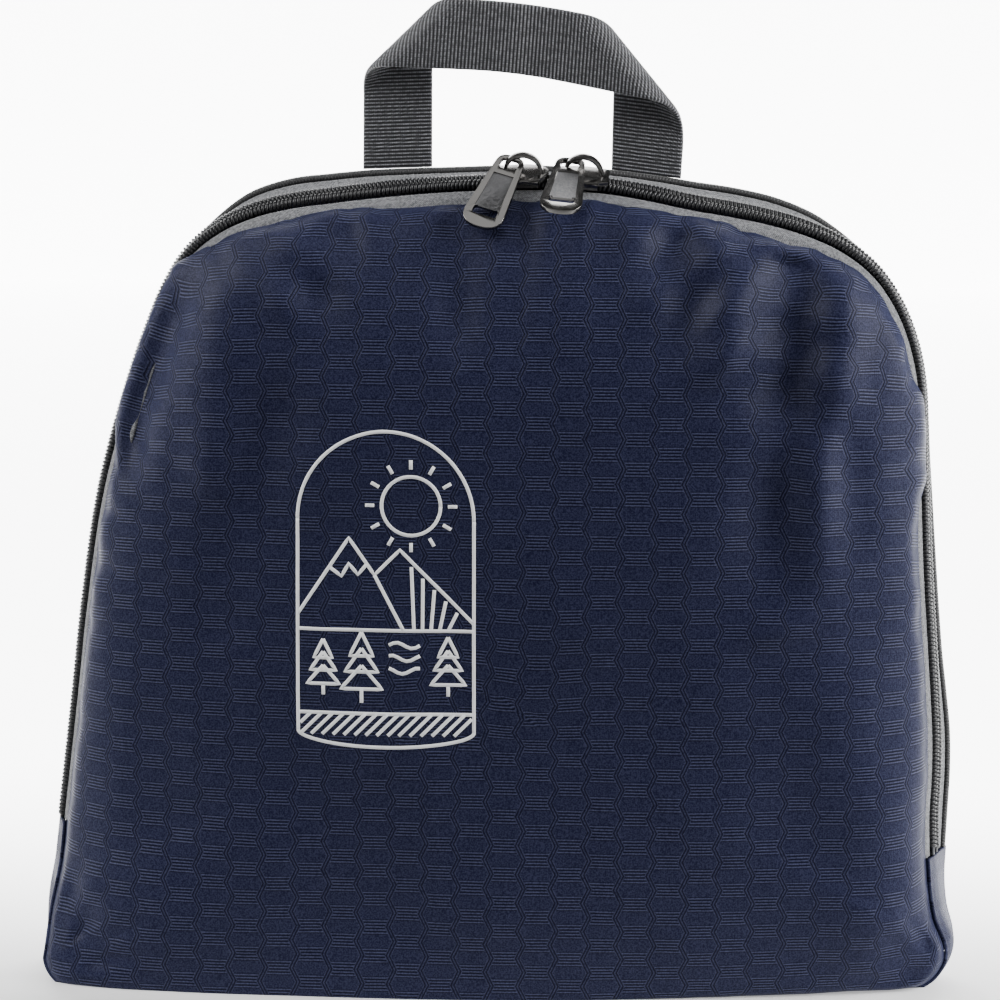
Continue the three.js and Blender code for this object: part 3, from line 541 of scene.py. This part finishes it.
def grid_normals(points):
    """Normals of a closed dome's grid, pointing away from the pouch's inside."""
    down = np.gradient(points, axis=0)
    wrapped = np.concatenate([points[:, -2:-1], points, points[:, 1:2]], axis=1)
    along = (wrapped[:, 2:] - wrapped[:, :-2]) / 2
    along[0] = along[1]
    down[0] = down[1]
    return unit(np.cross(down, along))


def flat_dome(points):
    """Flat coordinates: each ray from the fullest point keeps its direction and its true length."""
    rim = points[-1] - points[0]
    away = lengths(points)
    direction = unit(rim[:, [0, 2]])
    middle = points[0, 0, [0, 2]]
    return middle + direction[None] * away[..., None]


front = fine_dome(front_rows)
front_flat = flat_dome(front)
from_seam = lengths(front[::-1])[::-1]
along_seam = lengths(front[-1])
seam_out = unit(front[-1] - np.array(MIDDLE))
print("front cloth:", front.shape[:2], "points, and a seam of", round(along_seam[-1] / MM), "mm")

# %% Gathers, dents and the wandering edge
GATHERS = [
    {"wave": 6.1, "depth": 0.16, "fade": 5.0, "turn": 0.3},
    {"wave": 9.7, "depth": 0.4, "fade": 10.0, "turn": 1.9},
    {"wave": 15.3, "depth": 0.62, "fade": 19.0, "turn": 4.1},
    {"wave": 23.9, "depth": 0.7, "fade": 34.0, "turn": 0.8},
]
EDGE_SHIFTS = [
    {"x": -0.68, "shift": 0.6},
    {"x": -0.6, "shift": 1.6},
    {"x": -0.49, "shift": -0.6},
    {"x": -0.42, "shift": 0.9},
    {"x": -0.31, "shift": 1.2},
    {"x": -0.17, "shift": -0.9},
    {"x": -0.06, "shift": -0.7},
    {"x": 0.22, "shift": 1.1},
    {"x": 0.34, "shift": 1.4},
    {"x": 0.48, "shift": 1.7},
    {"x": 0.54, "shift": 0.4},
    {"x": 0.63, "shift": -1.6},
    {"x": 0.68, "shift": 0.4},
    {"x": 0.76, "shift": 0.8},
    {"x": 0.85, "shift": 0.4},
    {"x": 0.89, "shift": 0.3},
]
SIDE_BULGES = [
    {"side": -1, "low": 146, "high": 205, "out": 3.6, "shift": 1.8},
    {"side": 1, "low": 133, "high": 172, "out": 2.6, "shift": 2.6},
]
SHIFT_REACH = 0.006  # how far below the seam a shift of the edge is felt
SWELL_AT_EDGE, SWELL_START, SWELL_REACH = 0.7, 0.003, 0.0052
BULGE_RAMP = 10  # millimetres over which a side bulge starts and ends
TOP_FROM, TOP_FADE = 0.115, 0.02  # the height at which the edge starts to wander
ZIP_END_FADE = 0.012
DENT_SCALE, DENT_DEPTH, DENT_RIM = Vector((30, 30, 19)), 1.5, 0.02
RIPPLE_SCALE, RIPPLE_SHIFT, RIPPLE_DEPTH = 2.4, 90, 0.5
FLOOR_GAP = 0.0001  # the cloth stays this far above the floor
tape_rows = outer_rows("zipper_tape_front", 3)
half_width = max(abs(low.x), high.x)
zip_ends = tape_rows[0][0][2], tape_rows[-1][0][2]


def on_zip(points):
    """1 where the seam meets the zip and 0 along the base."""
    height = points[-1, :, 2]
    return np.clip((height - max(zip_ends)) / ZIP_END_FADE, 0, 1)


def gathered(points):
    depth = np.zeros(points.shape[:2])
    place = along_seam[None] / MM
    fall = from_seam / MM
    top = 0.45 + 0.55 * np.clip(seam_out[:, 2], 0, 1)[None]
    for row in GATHERS:
        bend = 0.35 * np.sin(place * 2 * math.pi / (row["wave"] * 3.7) + row["turn"] * 2)
        wave = np.sin(place * 2 * math.pi / row["wave"] + row["turn"] + 4 * bend)
        swell = 0.6 + 0.4 * np.sin(place * 2 * math.pi / (row["wave"] * 5.3) + row["turn"] * 3)
        depth += row["depth"] * swell * wave * np.exp(-fall / row["fade"]) * top
    depth *= 1 - 0.65 * np.exp(-fall / 1.5)
    return depth * (0.35 + 0.65 * on_zip(points)[None])


def dented(points):
    depth = np.zeros(points.shape[:2])
    for index in np.ndindex(depth.shape):
        place = Vector(points[index]) * DENT_SCALE
        ripple = noise.noise(place * RIPPLE_SCALE + MIDDLE * RIPPLE_SHIFT)
        depth[index] = DENT_DEPTH * noise.noise(place) + RIPPLE_DEPTH * ripple
    return depth * np.clip(from_seam / DENT_RIM, 0, 1)


def tape_slope(points):
    """The way up the tape from the seam to the coil, for each column of a panel's grid."""
    angles = np.array([arch_angle(Vector(row[1])) for row in tape_rows])
    slopes = unit(tape_rows[:, 2] - tape_rows[:, 0])
    columns = np.array([arch_angle(Vector(p)) for p in points[-1]])
    return np.stack([np.interp(columns, angles, slopes[:, i]) for i in range(3)], axis=-1)


def shifted_edge(points):
    """Moves the cloth's edge up or down the tape, and lets it swell over the zip at both sides."""
    share = points[-1, :, 0] / half_width
    on_top = np.clip((points[-1, :, 2] - TOP_FROM) / TOP_FADE, 0, 1)
    places, shifts = zip(*((row["x"], row["shift"]) for row in EDGE_SHIFTS))
    shift = np.interp(share, places, shifts) * on_top * (share > places[0])
    out = np.zeros_like(shift)
    for row in SIDE_BULGES:
        height = points[-1, :, 2] / MM
        here = np.clip((height - row["low"]) / BULGE_RAMP, 0, 1)
        here *= np.clip((row["high"] - height) / BULGE_RAMP, 0, 1)
        here = here**2 * (3 - 2 * here) * (np.sign(share) == row["side"])
        shift, out = shift + row["shift"] * here, out + row["out"] * here
    fade = np.exp(-from_seam / SHIFT_REACH)
    swell = SWELL_AT_EDGE + (1 - SWELL_AT_EDGE) * np.clip(from_seam / SWELL_START, 0, 1)
    swell *= np.exp(-((from_seam / SWELL_REACH) ** 2))
    outwards = seam_out * np.array([1, 0, 1])
    moved = tape_slope(points)[None] * (shift[None] * fade)[..., None] * MM
    return moved + outwards[None] * (out[None] * swell)[..., None] * MM


normals = grid_normals(front)
swell = (gathered(front) + dented(front)) * MM
front_cloth_points = front + normals * swell[..., None] + shifted_edge(front)
front_cloth_points[:, -1] = front_cloth_points[:, 0]
front_cloth_points[..., 2] = np.maximum(front_cloth_points[..., 2], FLOOR_GAP)


# %% [markdown]
# The cloth's edge is turned under before it is sewn, so a few more rows roll it inwards.


# %% Build the front cloth
CLOTH_THICKNESS = 0.0006
EDGE_ROLL = 0.0007  # radius of the turned edge


def seam_out_of(points):
    return unit((points[-1] - np.array(MIDDLE)) * np.array([1, 0, 1]))


def rolled_edge(points, flat, inward_y):
    """Adds rows that turn the edge under, towards the inside of the pouch."""
    out = seam_out_of(points)
    inward = np.array([0, inward_y, 0])
    rows, coordinates = [points], [flat]
    seam, flat_seam = points[-1], flat[-1]
    outward_flat = unit(flat_seam - flat[0])
    for angle in (30, 65, 100, 140):
        turn = math.radians(angle)
        step = out * (-EDGE_ROLL * (1 - math.cos(turn))) + inward * (EDGE_ROLL * math.sin(turn))
        rows.append((seam + step)[None])
        coordinates.append((flat_seam + outward_flat * EDGE_ROLL * turn)[None])
    return np.concatenate(rows), np.concatenate(coordinates)


points, flat = rolled_edge(front_cloth_points, front_flat, 1)
front_cloth = finish_piece(
    "front_cloth", bent_grid(points, flat), [ripstop], replaces=["front_panel"]
)
add_modifier(front_cloth, "SOLIDIFY", thickness=CLOTH_THICKNESS, offset=-1)
print("front cloth:", len(front_cloth.data.polygons), "faces")

# %% [markdown]
# ## The back and the base
#
# The back is the same cloth with fewer folds. The base is one strip from zip end to zip end.

# %% Back cloth
back = fine_dome(dome_rows("back_panel", 1))
from_seam, along_seam = lengths(back[::-1])[::-1], lengths(back[-1])
seam_out = unit(back[-1] - np.array(MIDDLE))
normals = -grid_normals(back)
swell = (gathered(back) * 0.8 + dented(back)) * MM
swell *= np.clip(from_seam / 0.004, 0, 1)
back_points = back + normals * swell[..., None]
back_points[:, -1] = back_points[:, 0]
back_points[..., 2] = np.maximum(back_points[..., 2], FLOOR_GAP)
points, flat = rolled_edge(back_points, flat_dome(back), -1)
bm = bent_grid(points, flat, inside_out=True)
back_cloth = finish_piece("back_cloth", bm, [ripstop], replaces=["back_panel"])
add_modifier(back_cloth, "SOLIDIFY", thickness=CLOTH_THICKNESS, offset=-1)


# %% Base gusset and the zip's tapes
def strip_points(rows, steps, across):
    fine = spline(rows, np.linspace(0, 1, steps + 1))
    return spline(np.swapaxes(fine, 0, 1), np.linspace(0, 1, across + 1))


def strip_flat(points):
    along = lengths(points, axis=1)[points.shape[0] // 2]
    across = lengths(points, axis=0)[:, points.shape[1] // 2]
    return np.stack(np.meshgrid(along, across), axis=-1)


def cloth_strip(name, rows, steps, across, finish, replaces, thickness):
    points = strip_points(rows, steps, across)
    bm = bent_grid(points, strip_flat(points))
    piece = finish_piece(name, bm, [finish], replaces=replaces)
    add_modifier(piece, "SOLIDIFY", thickness=thickness, offset=-1)


base_rows = outer_rows("base_gusset", 5, down=True)
cloth_strip("base_cloth", base_rows, 260, 24, ripstop, ["base_gusset"], 0.0009)


TUCK = 0.0024  # how far a tape's hidden edge dips under its neighbour
TAPE_STEPS, TAPE_THICKNESS = 500, 0.0007


def widened(rows, front_side, extra):
    """A strip of cloth with more of it under its neighbour, on its front or its back edge."""
    edge = rows[:, 0] if front_side else rows[:, -1]
    inner = rows[:, 1] if front_side else rows[:, -2]
    more = edge + unit(edge - inner) * extra
    more = more - unit((edge - np.array(MIDDLE)) * np.array([1, 0, 1])) * TUCK
    parts = [more[:, None], rows] if front_side else [rows, more[:, None]]
    return np.concatenate(parts, axis=1)


back_tape_rows = outer_rows("zipper_tape_back", 3)
TAPES = [
    {"side": "front", "rows": widened(tape_rows, True, 0.003), "across": 10},
    {"side": "back", "rows": widened(back_tape_rows, False, 0.0012), "across": 8},
]
for row in TAPES:
    cloth_strip(
        "zip_tape_" + row["side"],
        row["rows"],
        TAPE_STEPS,
        row["across"],
        tape_cloth,
        ["zipper_tape_" + row["side"]],
        TAPE_THICKNESS,
    )

# %% [markdown]
# ## The zip's coil
#
# A coil zip is two long springs of nylon, each sewn along its tape. Closed, the loops of one lie
# between the loops of the other. One loop is modelled as a bent round bar of a few dozen faces and
# copied along the chain a pitch apart, so over a thousand loops still make a light piece.


# %% The line of the chain
def ring_middles(node, count):
    return np.array([sum(ring, Vector()) / count for ring in cross_rows(node, count)])


front_row, back_row = ring_middles("zipper_coil_front", 5), ring_middles("zipper_coil_back", 5)
CHAIN_STEPS = 2400
shares = np.linspace(0, 1, CHAIN_STEPS + 1)
chain = spline((front_row + back_row) / 2, shares)
chain_across = unit(spline(back_row - front_row, shares))
chain_along = unit(np.gradient(chain, axis=0))
chain_up = unit(np.cross(chain_along, chain_across))
outwards = np.sum(chain_up * (chain - np.array(MIDDLE)), axis=1) > 0
chain_up[~outwards] *= -1
chain_place = lengths(chain)
chain_length = chain_place[-1]
print("the chain is", round(chain_length / MM), "mm long")


def chain_frame(length):
    """The matrix of the chain at a length along it: x along, y across to the back, z out."""
    i = min(int(np.searchsorted(chain_place, length)), CHAIN_STEPS)
    columns = [Vector(a[i]) for a in (chain_along, chain_across, chain_up)]
    return Matrix.Translation(Vector(chain[i])) @ Matrix(columns).transposed().to_4x4()


# %% One loop of the coil, and all of them
COIL_PITCH = 0.00112
COIL_WIRE = 0.00047
COIL_END = 0.001  # left free at both ends of the chain
LOOP_PATH = [
    {"along": -0.3, "across": 2.1, "up": -0.9},
    {"along": -0.3, "across": 2.32, "up": -0.35},
    {"along": -0.26, "across": 2.1, "up": 0.25},
    {"along": -0.12, "across": 1.6, "up": 0.68},
    {"along": 0.04, "across": 1.05, "up": 0.74},
    {"along": 0.18, "across": 0.5, "up": 0.55},
    {"along": 0.26, "across": 0.1, "up": 0.1},
    {"along": 0.26, "across": 0.05, "up": -0.4},
]


def tube(bm, points, radius, sides=6):
    """A round bar through a row of points: a circle, extruded and turned from point to point."""
    edges, last, heading, turn = None, None, Vector((0, 0, 1)), Matrix.Identity(3)
    ends = []
    for i, point in enumerate(points):
        ahead = (points[min(i + 1, len(points) - 1)] - points[max(i - 1, 0)]).normalized()
        turn = heading.rotation_difference(ahead).to_matrix() @ turn
        heading = ahead
        matrix = Matrix.Translation(point) @ turn.to_4x4()
        if edges is None:
            ring = bmesh.ops.create_circle(bm, segments=sides, radius=radius, matrix=matrix)["verts"]
            edges = list({edge for vertex in ring for edge in vertex.link_edges})
            ends.append(edges)
        else:
            made = bmesh.ops.extrude_edge_only(bm, edges=edges)["geom"]
            ring = [g for g in made if isinstance(g, bmesh.types.BMVert)]
            near = set(ring)
            edges = [g for g in made if isinstance(g, bmesh.types.BMEdge) and near.issuperset(g.verts)]
            bmesh.ops.transform(bm, matrix=matrix @ last.inverted(), verts=ring)
        last = matrix
    for end in (ends[0], edges):
        bmesh.ops.contextual_create(bm, geom=end)
    bmesh.ops.recalc_face_normals(bm, faces=bm.faces[:])


def loop_mesh(side):
    """One loop of the coil's front (-1) or back (1) row, about the chain's own axes."""
    bm = bmesh.new()
    path = [Vector((row["along"], side * row["across"], row["up"])) * MM for row in LOOP_PATH]
    tube(bm, path, COIL_WIRE)
    mesh = bpy.data.meshes.new("loop")
    bm.to_mesh(mesh)
    bm.free()
    return mesh


def coil(name, side, shift, replaces):
    loop = loop_mesh(side)
    bm = bmesh.new()
    count = int((chain_length - 2 * COIL_END) / COIL_PITCH)
    for i in range(count):
        before = len(bm.verts)
        bm.from_mesh(loop)
        bm.verts.ensure_lookup_table()
        place = chain_frame(COIL_END + (i + shift) * COIL_PITCH)
        bmesh.ops.transform(bm, matrix=place, verts=bm.verts[before:])
    bpy.data.meshes.remove(loop)
    finish_piece(name, bm, [coil_nylon], replaces=replaces)
    print(name, "has", count, "loops")


for side, name, shift in ((-1, "front", 0.0), (1, "back", 0.5)):
    coil("coil_" + name, side, shift, ["zipper_coil_" + name])

# %% [markdown]
# Under the loops runs a dark cord that the thread is stitched through. Without it, light would show
# between the two rows.


# %% The coil's core cord
def swept(name, middles, axes, section, finish, replaces=()):
    """A bar along a line. section holds its outline as distances to the back and outwards."""
    back, out = axes
    lines = [middles + back * (row["back"] * MM) + out * (row["out"] * MM) for row in section]
    rows = np.array(lines + lines[:1])
    bm = bent_grid(rows, strip_flat(rows))
    bmesh.ops.holes_fill(bm, edges=[e for e in bm.edges if e.is_boundary], sides=0)
    bmesh.ops.recalc_face_normals(bm, faces=bm.faces[:])
    finish_piece(name, bm, [finish], replaces=replaces)


def round_section(width, height, out, back=0.0, sides=10):
    angles = [2 * math.pi * i / sides for i in range(sides)]
    return [
        {"back": back + width / 2 * math.cos(a), "out": out + height / 2 * math.sin(a)} for a in angles
    ]


every = slice(0, CHAIN_STEPS + 1, 6)
axes = chain_across[every], chain_up[every]
for side, name in ((-1, "coil_cord_front"), (1, "coil_cord_back")):
    section = round_section(1.5, 0.9, 0.15, side * 1.35)
    swept(name, chain[every], axes, section, thread)

# %% [markdown]
# ## The binding
#
# A narrow ribbed tape is folded over the raw edges of the back panel and the zip. It is a soft tube
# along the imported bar, with the ribs of its weave across it.

# %% Rim binding
binding_middles = spline(ring_middles("rim_binding", 5), np.linspace(0, 1, 601))
binding_out = unit((binding_middles - np.array(MIDDLE)) * np.array([1, 0, 1]))
binding_back = np.tile(np.array([0.0, 1.0, 0.0]), (len(binding_middles), 1))
section = round_section(2.9, 2.1, 0.05, sides=14)
swept(
    "edge_binding",
    binding_middles,
    (binding_back, binding_out),
    section,
    binding_cloth,
    ["rim_binding"],
)

# %% [markdown]
# ## The haul loop
#
# The loop is one length of flat webbing. At both upper corners it is folded back over itself at 45
# degrees and sewn into the seam behind the zip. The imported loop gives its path, edge to edge. The
# fine one follows it and raises a rib at every pitch of the weave. Each line along the webbing counts
# its own length, so the ribs stay square to the edges where the fold cuts across them.


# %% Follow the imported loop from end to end
def loop_rows(node):
    """The four corners of the webbing at each packed section, in order along it."""
    bm = cad_copy(node)
    caps = []
    for vertex in bm.verts:
        around = [edge.other_vert(vertex) for edge in vertex.link_edges]
        mean = sum((v.co for v in around), Vector()) / len(around)
        if (mean - vertex.co).length < 1e-6:
            caps.append(vertex)
    start = min(caps, key=lambda v: v.co.x)
    ring, seen, rows = {start}, {start}, []
    while ring:
        ring = {edge.other_vert(v) for v in ring for edge in v.link_edges} - seen
        seen |= ring
        if len(ring) == 4:
            rows.append(list(ring))
    ordered = [sorted(rows[0], key=lambda v: (v.co.y, v.co.x))]
    for row in rows[1:]:
        free, line = set(row), []
        for vertex in ordered[-1]:
            along = [v for v in free if any(e.other_vert(vertex) == v for e in vertex.link_edges)]
            best = min(along or free, key=lambda v: (v.co - vertex.co).length)
            line.append(best)
            free.discard(best)
        ordered.append(line)
    result = np.array([[v.co[:] for v in row] for row in ordered])
    bm.free()
    return result


packed_loop = loop_rows("grab_handle")
print("webbing:", packed_loop.shape[0], "sections")

# %% Webbing with its ribs
RIB_HEIGHT = 0.00016
STEPS_PER_RIB = 6
CLOSE_STEPS = 2000
left_edge, right_edge = packed_loop[:, [0, 2]].mean(axis=1), packed_loop[:, [1, 3]].mean(axis=1)
face_side = unit(packed_loop[:, 0] - packed_loop[:, 2])
loop_length = lengths((left_edge + right_edge) / 2)[-1]
loop_steps = int(loop_length / (RIB_PITCH * MM)) * STEPS_PER_RIB
shares = np.linspace(0, 1, loop_steps + 1)


def even(values):
    """The values at even steps of length along the webbing."""
    close = np.linspace(0, 1, CLOSE_STEPS + 1)
    dense = spline(values, close)
    middle = spline((left_edge + right_edge) / 2, close)
    place = lengths(middle)
    want = shares * place[-1]
    return np.stack([np.interp(want, place, dense[:, i]) for i in range(3)], axis=-1)


WEBBING_THICKNESS = 0.0013
left_line, right_line, out_line = even(left_edge), even(right_edge), unit(even(face_side))
across = [0, 0.02, 0.06, 0.3, 0.5, 0.7, 0.94, 0.98, 1]
soft = [0.35, 0.8, 1, 1, 1, 1, 1, 0.8, 0.35]
webbing_width = np.linalg.norm(right_line[0] - left_line[0])
rows, flat = [], []
for face in (1, -1):
    order = list(zip(across, soft))
    for share, thick in order if face > 0 else order[::-1]:
        line = left_line + (right_line - left_line) * share
        rib = (0.5 + 0.5 * np.cos(lengths(line) / (RIB_PITCH * MM) * 2 * math.pi)) * RIB_HEIGHT
        rise = ((WEBBING_THICKNESS / 2 + rib) * thick)[:, None]
        rows.append(line + out_line * rise * face)
        width = np.full(loop_steps + 1, share * webbing_width)
        flat.append(np.stack([lengths(line), width], axis=-1))
loop_points, loop_flat = np.array(rows + rows[:1]), np.array(flat + flat[:1])
bm = bent_grid(loop_points, loop_flat)
bmesh.ops.holes_fill(bm, edges=[e for e in bm.edges if e.is_boundary], sides=0)
bmesh.ops.recalc_face_normals(bm, faces=bm.faces[:])
haul_loop = finish_piece("haul_loop", bm, [webbing_cloth], replaces=["grab_handle"])
print("haul loop:", len(haul_loop.data.polygons), "faces")

# %% [markdown]
# ## Sliders and pulls
#
# They are die-cast and plated, so every edge is a little round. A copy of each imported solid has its
# flat faces joined again, and its sharp edges bevelled. The sunk face of the pull keeps a dull finish.


# %% Rounded metal pieces
SHARP = math.radians(38)


def outermost(bm, face):
    """Whether no point of the solid lies in front of this face."""
    return all((v.co - face.verts[0].co).dot(face.normal) < 1e-5 for v in bm.verts)


def round_edges(bm, edges, radius, segments):
    bmesh.ops.bevel(
        bm,
        geom=edges,
        offset=radius,
        offset_type="OFFSET",
        segments=segments,
        profile=0.5,
        affect="EDGES",
        clamp_overlap=True,
        material=-1,
    )


def sharp_edges(bm):
    convex = [e for e in bm.edges if e.is_manifold and e.is_convex]
    return [e for e in convex if e.calc_face_angle(0) > SHARP]


def rounded_metal(name, node, radius, body, rim=0.0):
    """rim is the larger radius of the outline of a flat piece, whose sunk face is dull."""
    bm = cad_copy(node)
    bmesh.ops.dissolve_limit(bm, angle_limit=math.radians(0.5), verts=bm.verts[:], edges=bm.edges[:])
    if rim:
        outer = {face for face in bm.faces if outermost(bm, face)}
        sunk = max((face for face in bm.faces if face not in outer), key=lambda f: f.calc_area())
        sunk.material_index = 1
        around = [e for e in sharp_edges(bm) if outer.issuperset(e.link_faces)]
        round_edges(bm, around, rim, 4)
    round_edges(bm, sharp_edges(bm), radius, 2)
    piece = finish_piece(name, bm, [gunmetal, gunmetal_dull], body, [node])
    piece.data.set_sharp_from_angle(angle=math.radians(50))
    return piece


for side in ("left", "right"):
    rounded_metal("slider_" + side + "_body", "slider_" + side, 0.0003, "pouch")
for joint in frame["joints"]:
    side = joint["child"].split("_")[0]
    rounded_metal("pull_" + side + "_body", "pull_" + side, 0.0002, joint["child"], rim=0.0005)

# %% [markdown]
# ## The print
#
# A white line drawing is printed on the cloth. A print is thin ink, so every line is a flat ribbon
# that lies a hair above the cloth: its points are dropped onto the front panel from in front.

# %% White ink
INK_WIDTH, INK_RISE = 0.95, 0.00016
ink_finish = Finish("white_ink", (0.93, 0.94, 0.95), 0.55)
ink_finish.bump(ink_finish.noise(1400.0), 0.00003, 0.5)
ink = ink_finish.material


def points_between(start, end, step=1.2):
    count = max(1, int((Vector(end) - Vector(start)).length / step))
    return [Vector(start).lerp(Vector(end), i / count) for i in range(count + 1)]


def line(*corners):
    """Straight runs through corners, given as distances right and up in millimetres."""
    points = []
    for start, end in zip(corners, corners[1:]):
        points += points_between(start, end)[0 if not points else 1 :]
    return points


def arc(x, z, radius, start, end, flatness=1.0):
    count = max(4, int(abs(end - start) * radius / 70))
    turns = [math.radians(start + (end - start) * i / count) for i in range(count + 1)]
    return [Vector((x + radius * math.cos(t), z + radius * flatness * math.sin(t))) for t in turns]


def pine(x, z, height):
    """A fir tree: a trunk and three tiers of branches, each a chevron."""
    strokes = [line((x, z), (x, z + height * 0.2))]
    for tier, width in ((0.2, 0.3), (0.45, 0.24), (0.68, 0.17)):
        low, top = z + height * tier, z + height * (tier + 0.34)
        half = height * width
        strokes.append(line((x, top), (x - half, low), (x + half, low), (x, top)))
    return strokes


def hatch(left, right, bottom, top, pitch):
    """Slanting lines inside a box."""
    strokes = []
    count = int((right - left + top - bottom) / pitch)
    for i in range(1, count):
        x = left - (top - bottom) + i * pitch
        start = (max(x, left), bottom + max(0, left - x))
        end_x = min(x + top - bottom, right)
        strokes.append(line(start, (end_x, bottom + end_x - x)))
    return strokes


def drawing():
    """A lake under mountains with the sun above, 50 mm wide and 88 mm high about its middle."""
    sun = Vector((7, 22))
    strokes = [
        line((-24, -40), (-24, 18)),
        arc(0, 18, 24, 180, 0),
        line((24, 18), (24, -40)),
        arc(0, -40, 24, 0, -180, 0.18),
        arc(*sun, 8, 0, 360),
    ]
    for i in range(12):
        turn = math.radians(i * 30)
        ray = Vector((math.cos(turn), math.sin(turn)))
        strokes.append(line(sun + ray * 10, sun + ray * 12.5))
    strokes += [
        line((-24, -8), (-10, 13), (-3, 3), (4, 10), (24, -10)),
        line((-15.3, 5), (-12, 2.5), (-10, 6), (-7.5, 3), (-5, 6)),
        line((-24, -12), (24, -12)),
        line((-3, 3), (5, -12)),
    ]
    strokes += [line((4 + i * 3.1, 8.5 - i * 3.1), (5.5 + i * 2.3, -12)) for i in range(1, 6)]
    strokes += pine(-17, -30, 15) + pine(-6.5, -32, 19) + pine(17, -30, 16)
    for row, z in enumerate((-16, -19.5, -23)):
        strokes.append([Vector((x * 1.2 + 1, z + 0.8 * math.sin(x * 0.9 + row))) for x in range(0, 8)])
    strokes += hatch(-23.4, 23.4, -41, -35, 3.0)
    strokes.append(line((-24, -35), (24, -35)))
    return strokes


def printed(name, strokes, middle, ground):
    """Lays strokes on a piece and joins them into one thin ribbon mesh."""
    bpy.context.view_layer.update()
    depsgraph = bpy.context.evaluated_depsgraph_get()
    tree = BVHTree.FromObject(ground, depsgraph)
    bm = bmesh.new()
    for stroke in strokes:
        points, outs = [], []
        for point in stroke:
            start = Vector((middle[0] + point.x * MM, -0.2, middle[1] + point.y * MM))
            hit, normal, _, _ = tree.ray_cast(start, Vector((0, 1, 0)))
            points.append(hit + normal * INK_RISE)
            outs.append(normal)
        edge = None
        for i, point in enumerate(points):
            ahead = points[min(i + 1, len(points) - 1)] - points[max(i - 1, 0)]
            side = outs[i].cross(ahead).normalized() * (INK_WIDTH * MM / 2)
            if edge is None:
                pair = [bm.verts.new(point - side), bm.verts.new(point + side)]
                edge = bm.edges.new(pair)
                continue
            made = bmesh.ops.extrude_edge_only(bm, edges=[edge])["geom"]
            new = [g for g in made if isinstance(g, bmesh.types.BMVert)]
            edges = [g for g in made if isinstance(g, bmesh.types.BMEdge)]
            edge = next(e for e in edges if set(e.verts) == set(new))
            for vertex, old, place in zip(new, pair, (point - side, point + side)):
                vertex.co = place
            pair = new
    return finish_piece(name, bm, [ink])


PRINT_MIDDLE = Vector((-0.0278, 0.1153))
line_print = printed("line_print", drawing(), PRINT_MIDDLE, front_cloth)
add_modifier(line_print, "SOLIDIFY", thickness=0.0001, offset=-1)

# %% [markdown]
# ## The stowed bag and the floor
#
# What is folded up inside never shows, but it takes the same cloth. The floor is marked as part of
# the stage.

# %% Stowed bag and floor
stowed = frame["nodes"]["stowed_bag"]
plain_navy = Finish("plain_navy_cloth", NAVY_BASE, 0.6, sheen=0.2)
plain_navy.bump(plain_navy.noise(1200.0), 0.00005)
stowed.data.materials.clear()
stowed.data.materials.append(plain_navy.material)

floor_finish = Finish("pale_floor", (0.9, 0.9, 0.9), 0.8)
wall_finish = Finish("lit_wall", (0.9, 0.9, 0.9), 0.9)
for finish, plane in ((floor_finish, floor), (wall_finish, wall)):
    finish.shader.inputs["Emission Color"].default_value = (1, 1, 1, 1)
    finish.shader.inputs["Emission Strength"].default_value = WALL_GLOW
    plane.data.materials.append(finish.material)
split = floor_finish.node("ShaderNodeSeparateXYZ")
floor_finish.feed(split.inputs[0], floor_finish.node("ShaderNodeTexCoord").outputs["Object"])
glow = floor_finish.ramp(split.outputs["Y"], *FLOOR_FADE, 0.0, WALL_GLOW)
floor_finish.feed(floor_finish.shader.inputs["Emission Strength"], glow)
shade = floor_finish.ramp(split.outputs["Y"], *FLOOR_SHADE)
shade = floor_finish.mix(shade, (0.2, 0.2, 0.2), (0.9, 0.9, 0.9))
floor_finish.feed(floor_finish.shader.inputs["Base Color"], shade)

# %% Sizes, and the last line
triangles = 0
depsgraph = bpy.context.evaluated_depsgraph_get()
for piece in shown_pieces():
    if piece.type == "MESH":
        shown = piece.evaluated_get(depsgraph).data
        shown.calc_loop_triangles()
        triangles += len(shown.loop_triangles)
        print(piece.name, len(shown.loop_triangles))
print("triangles:", triangles)
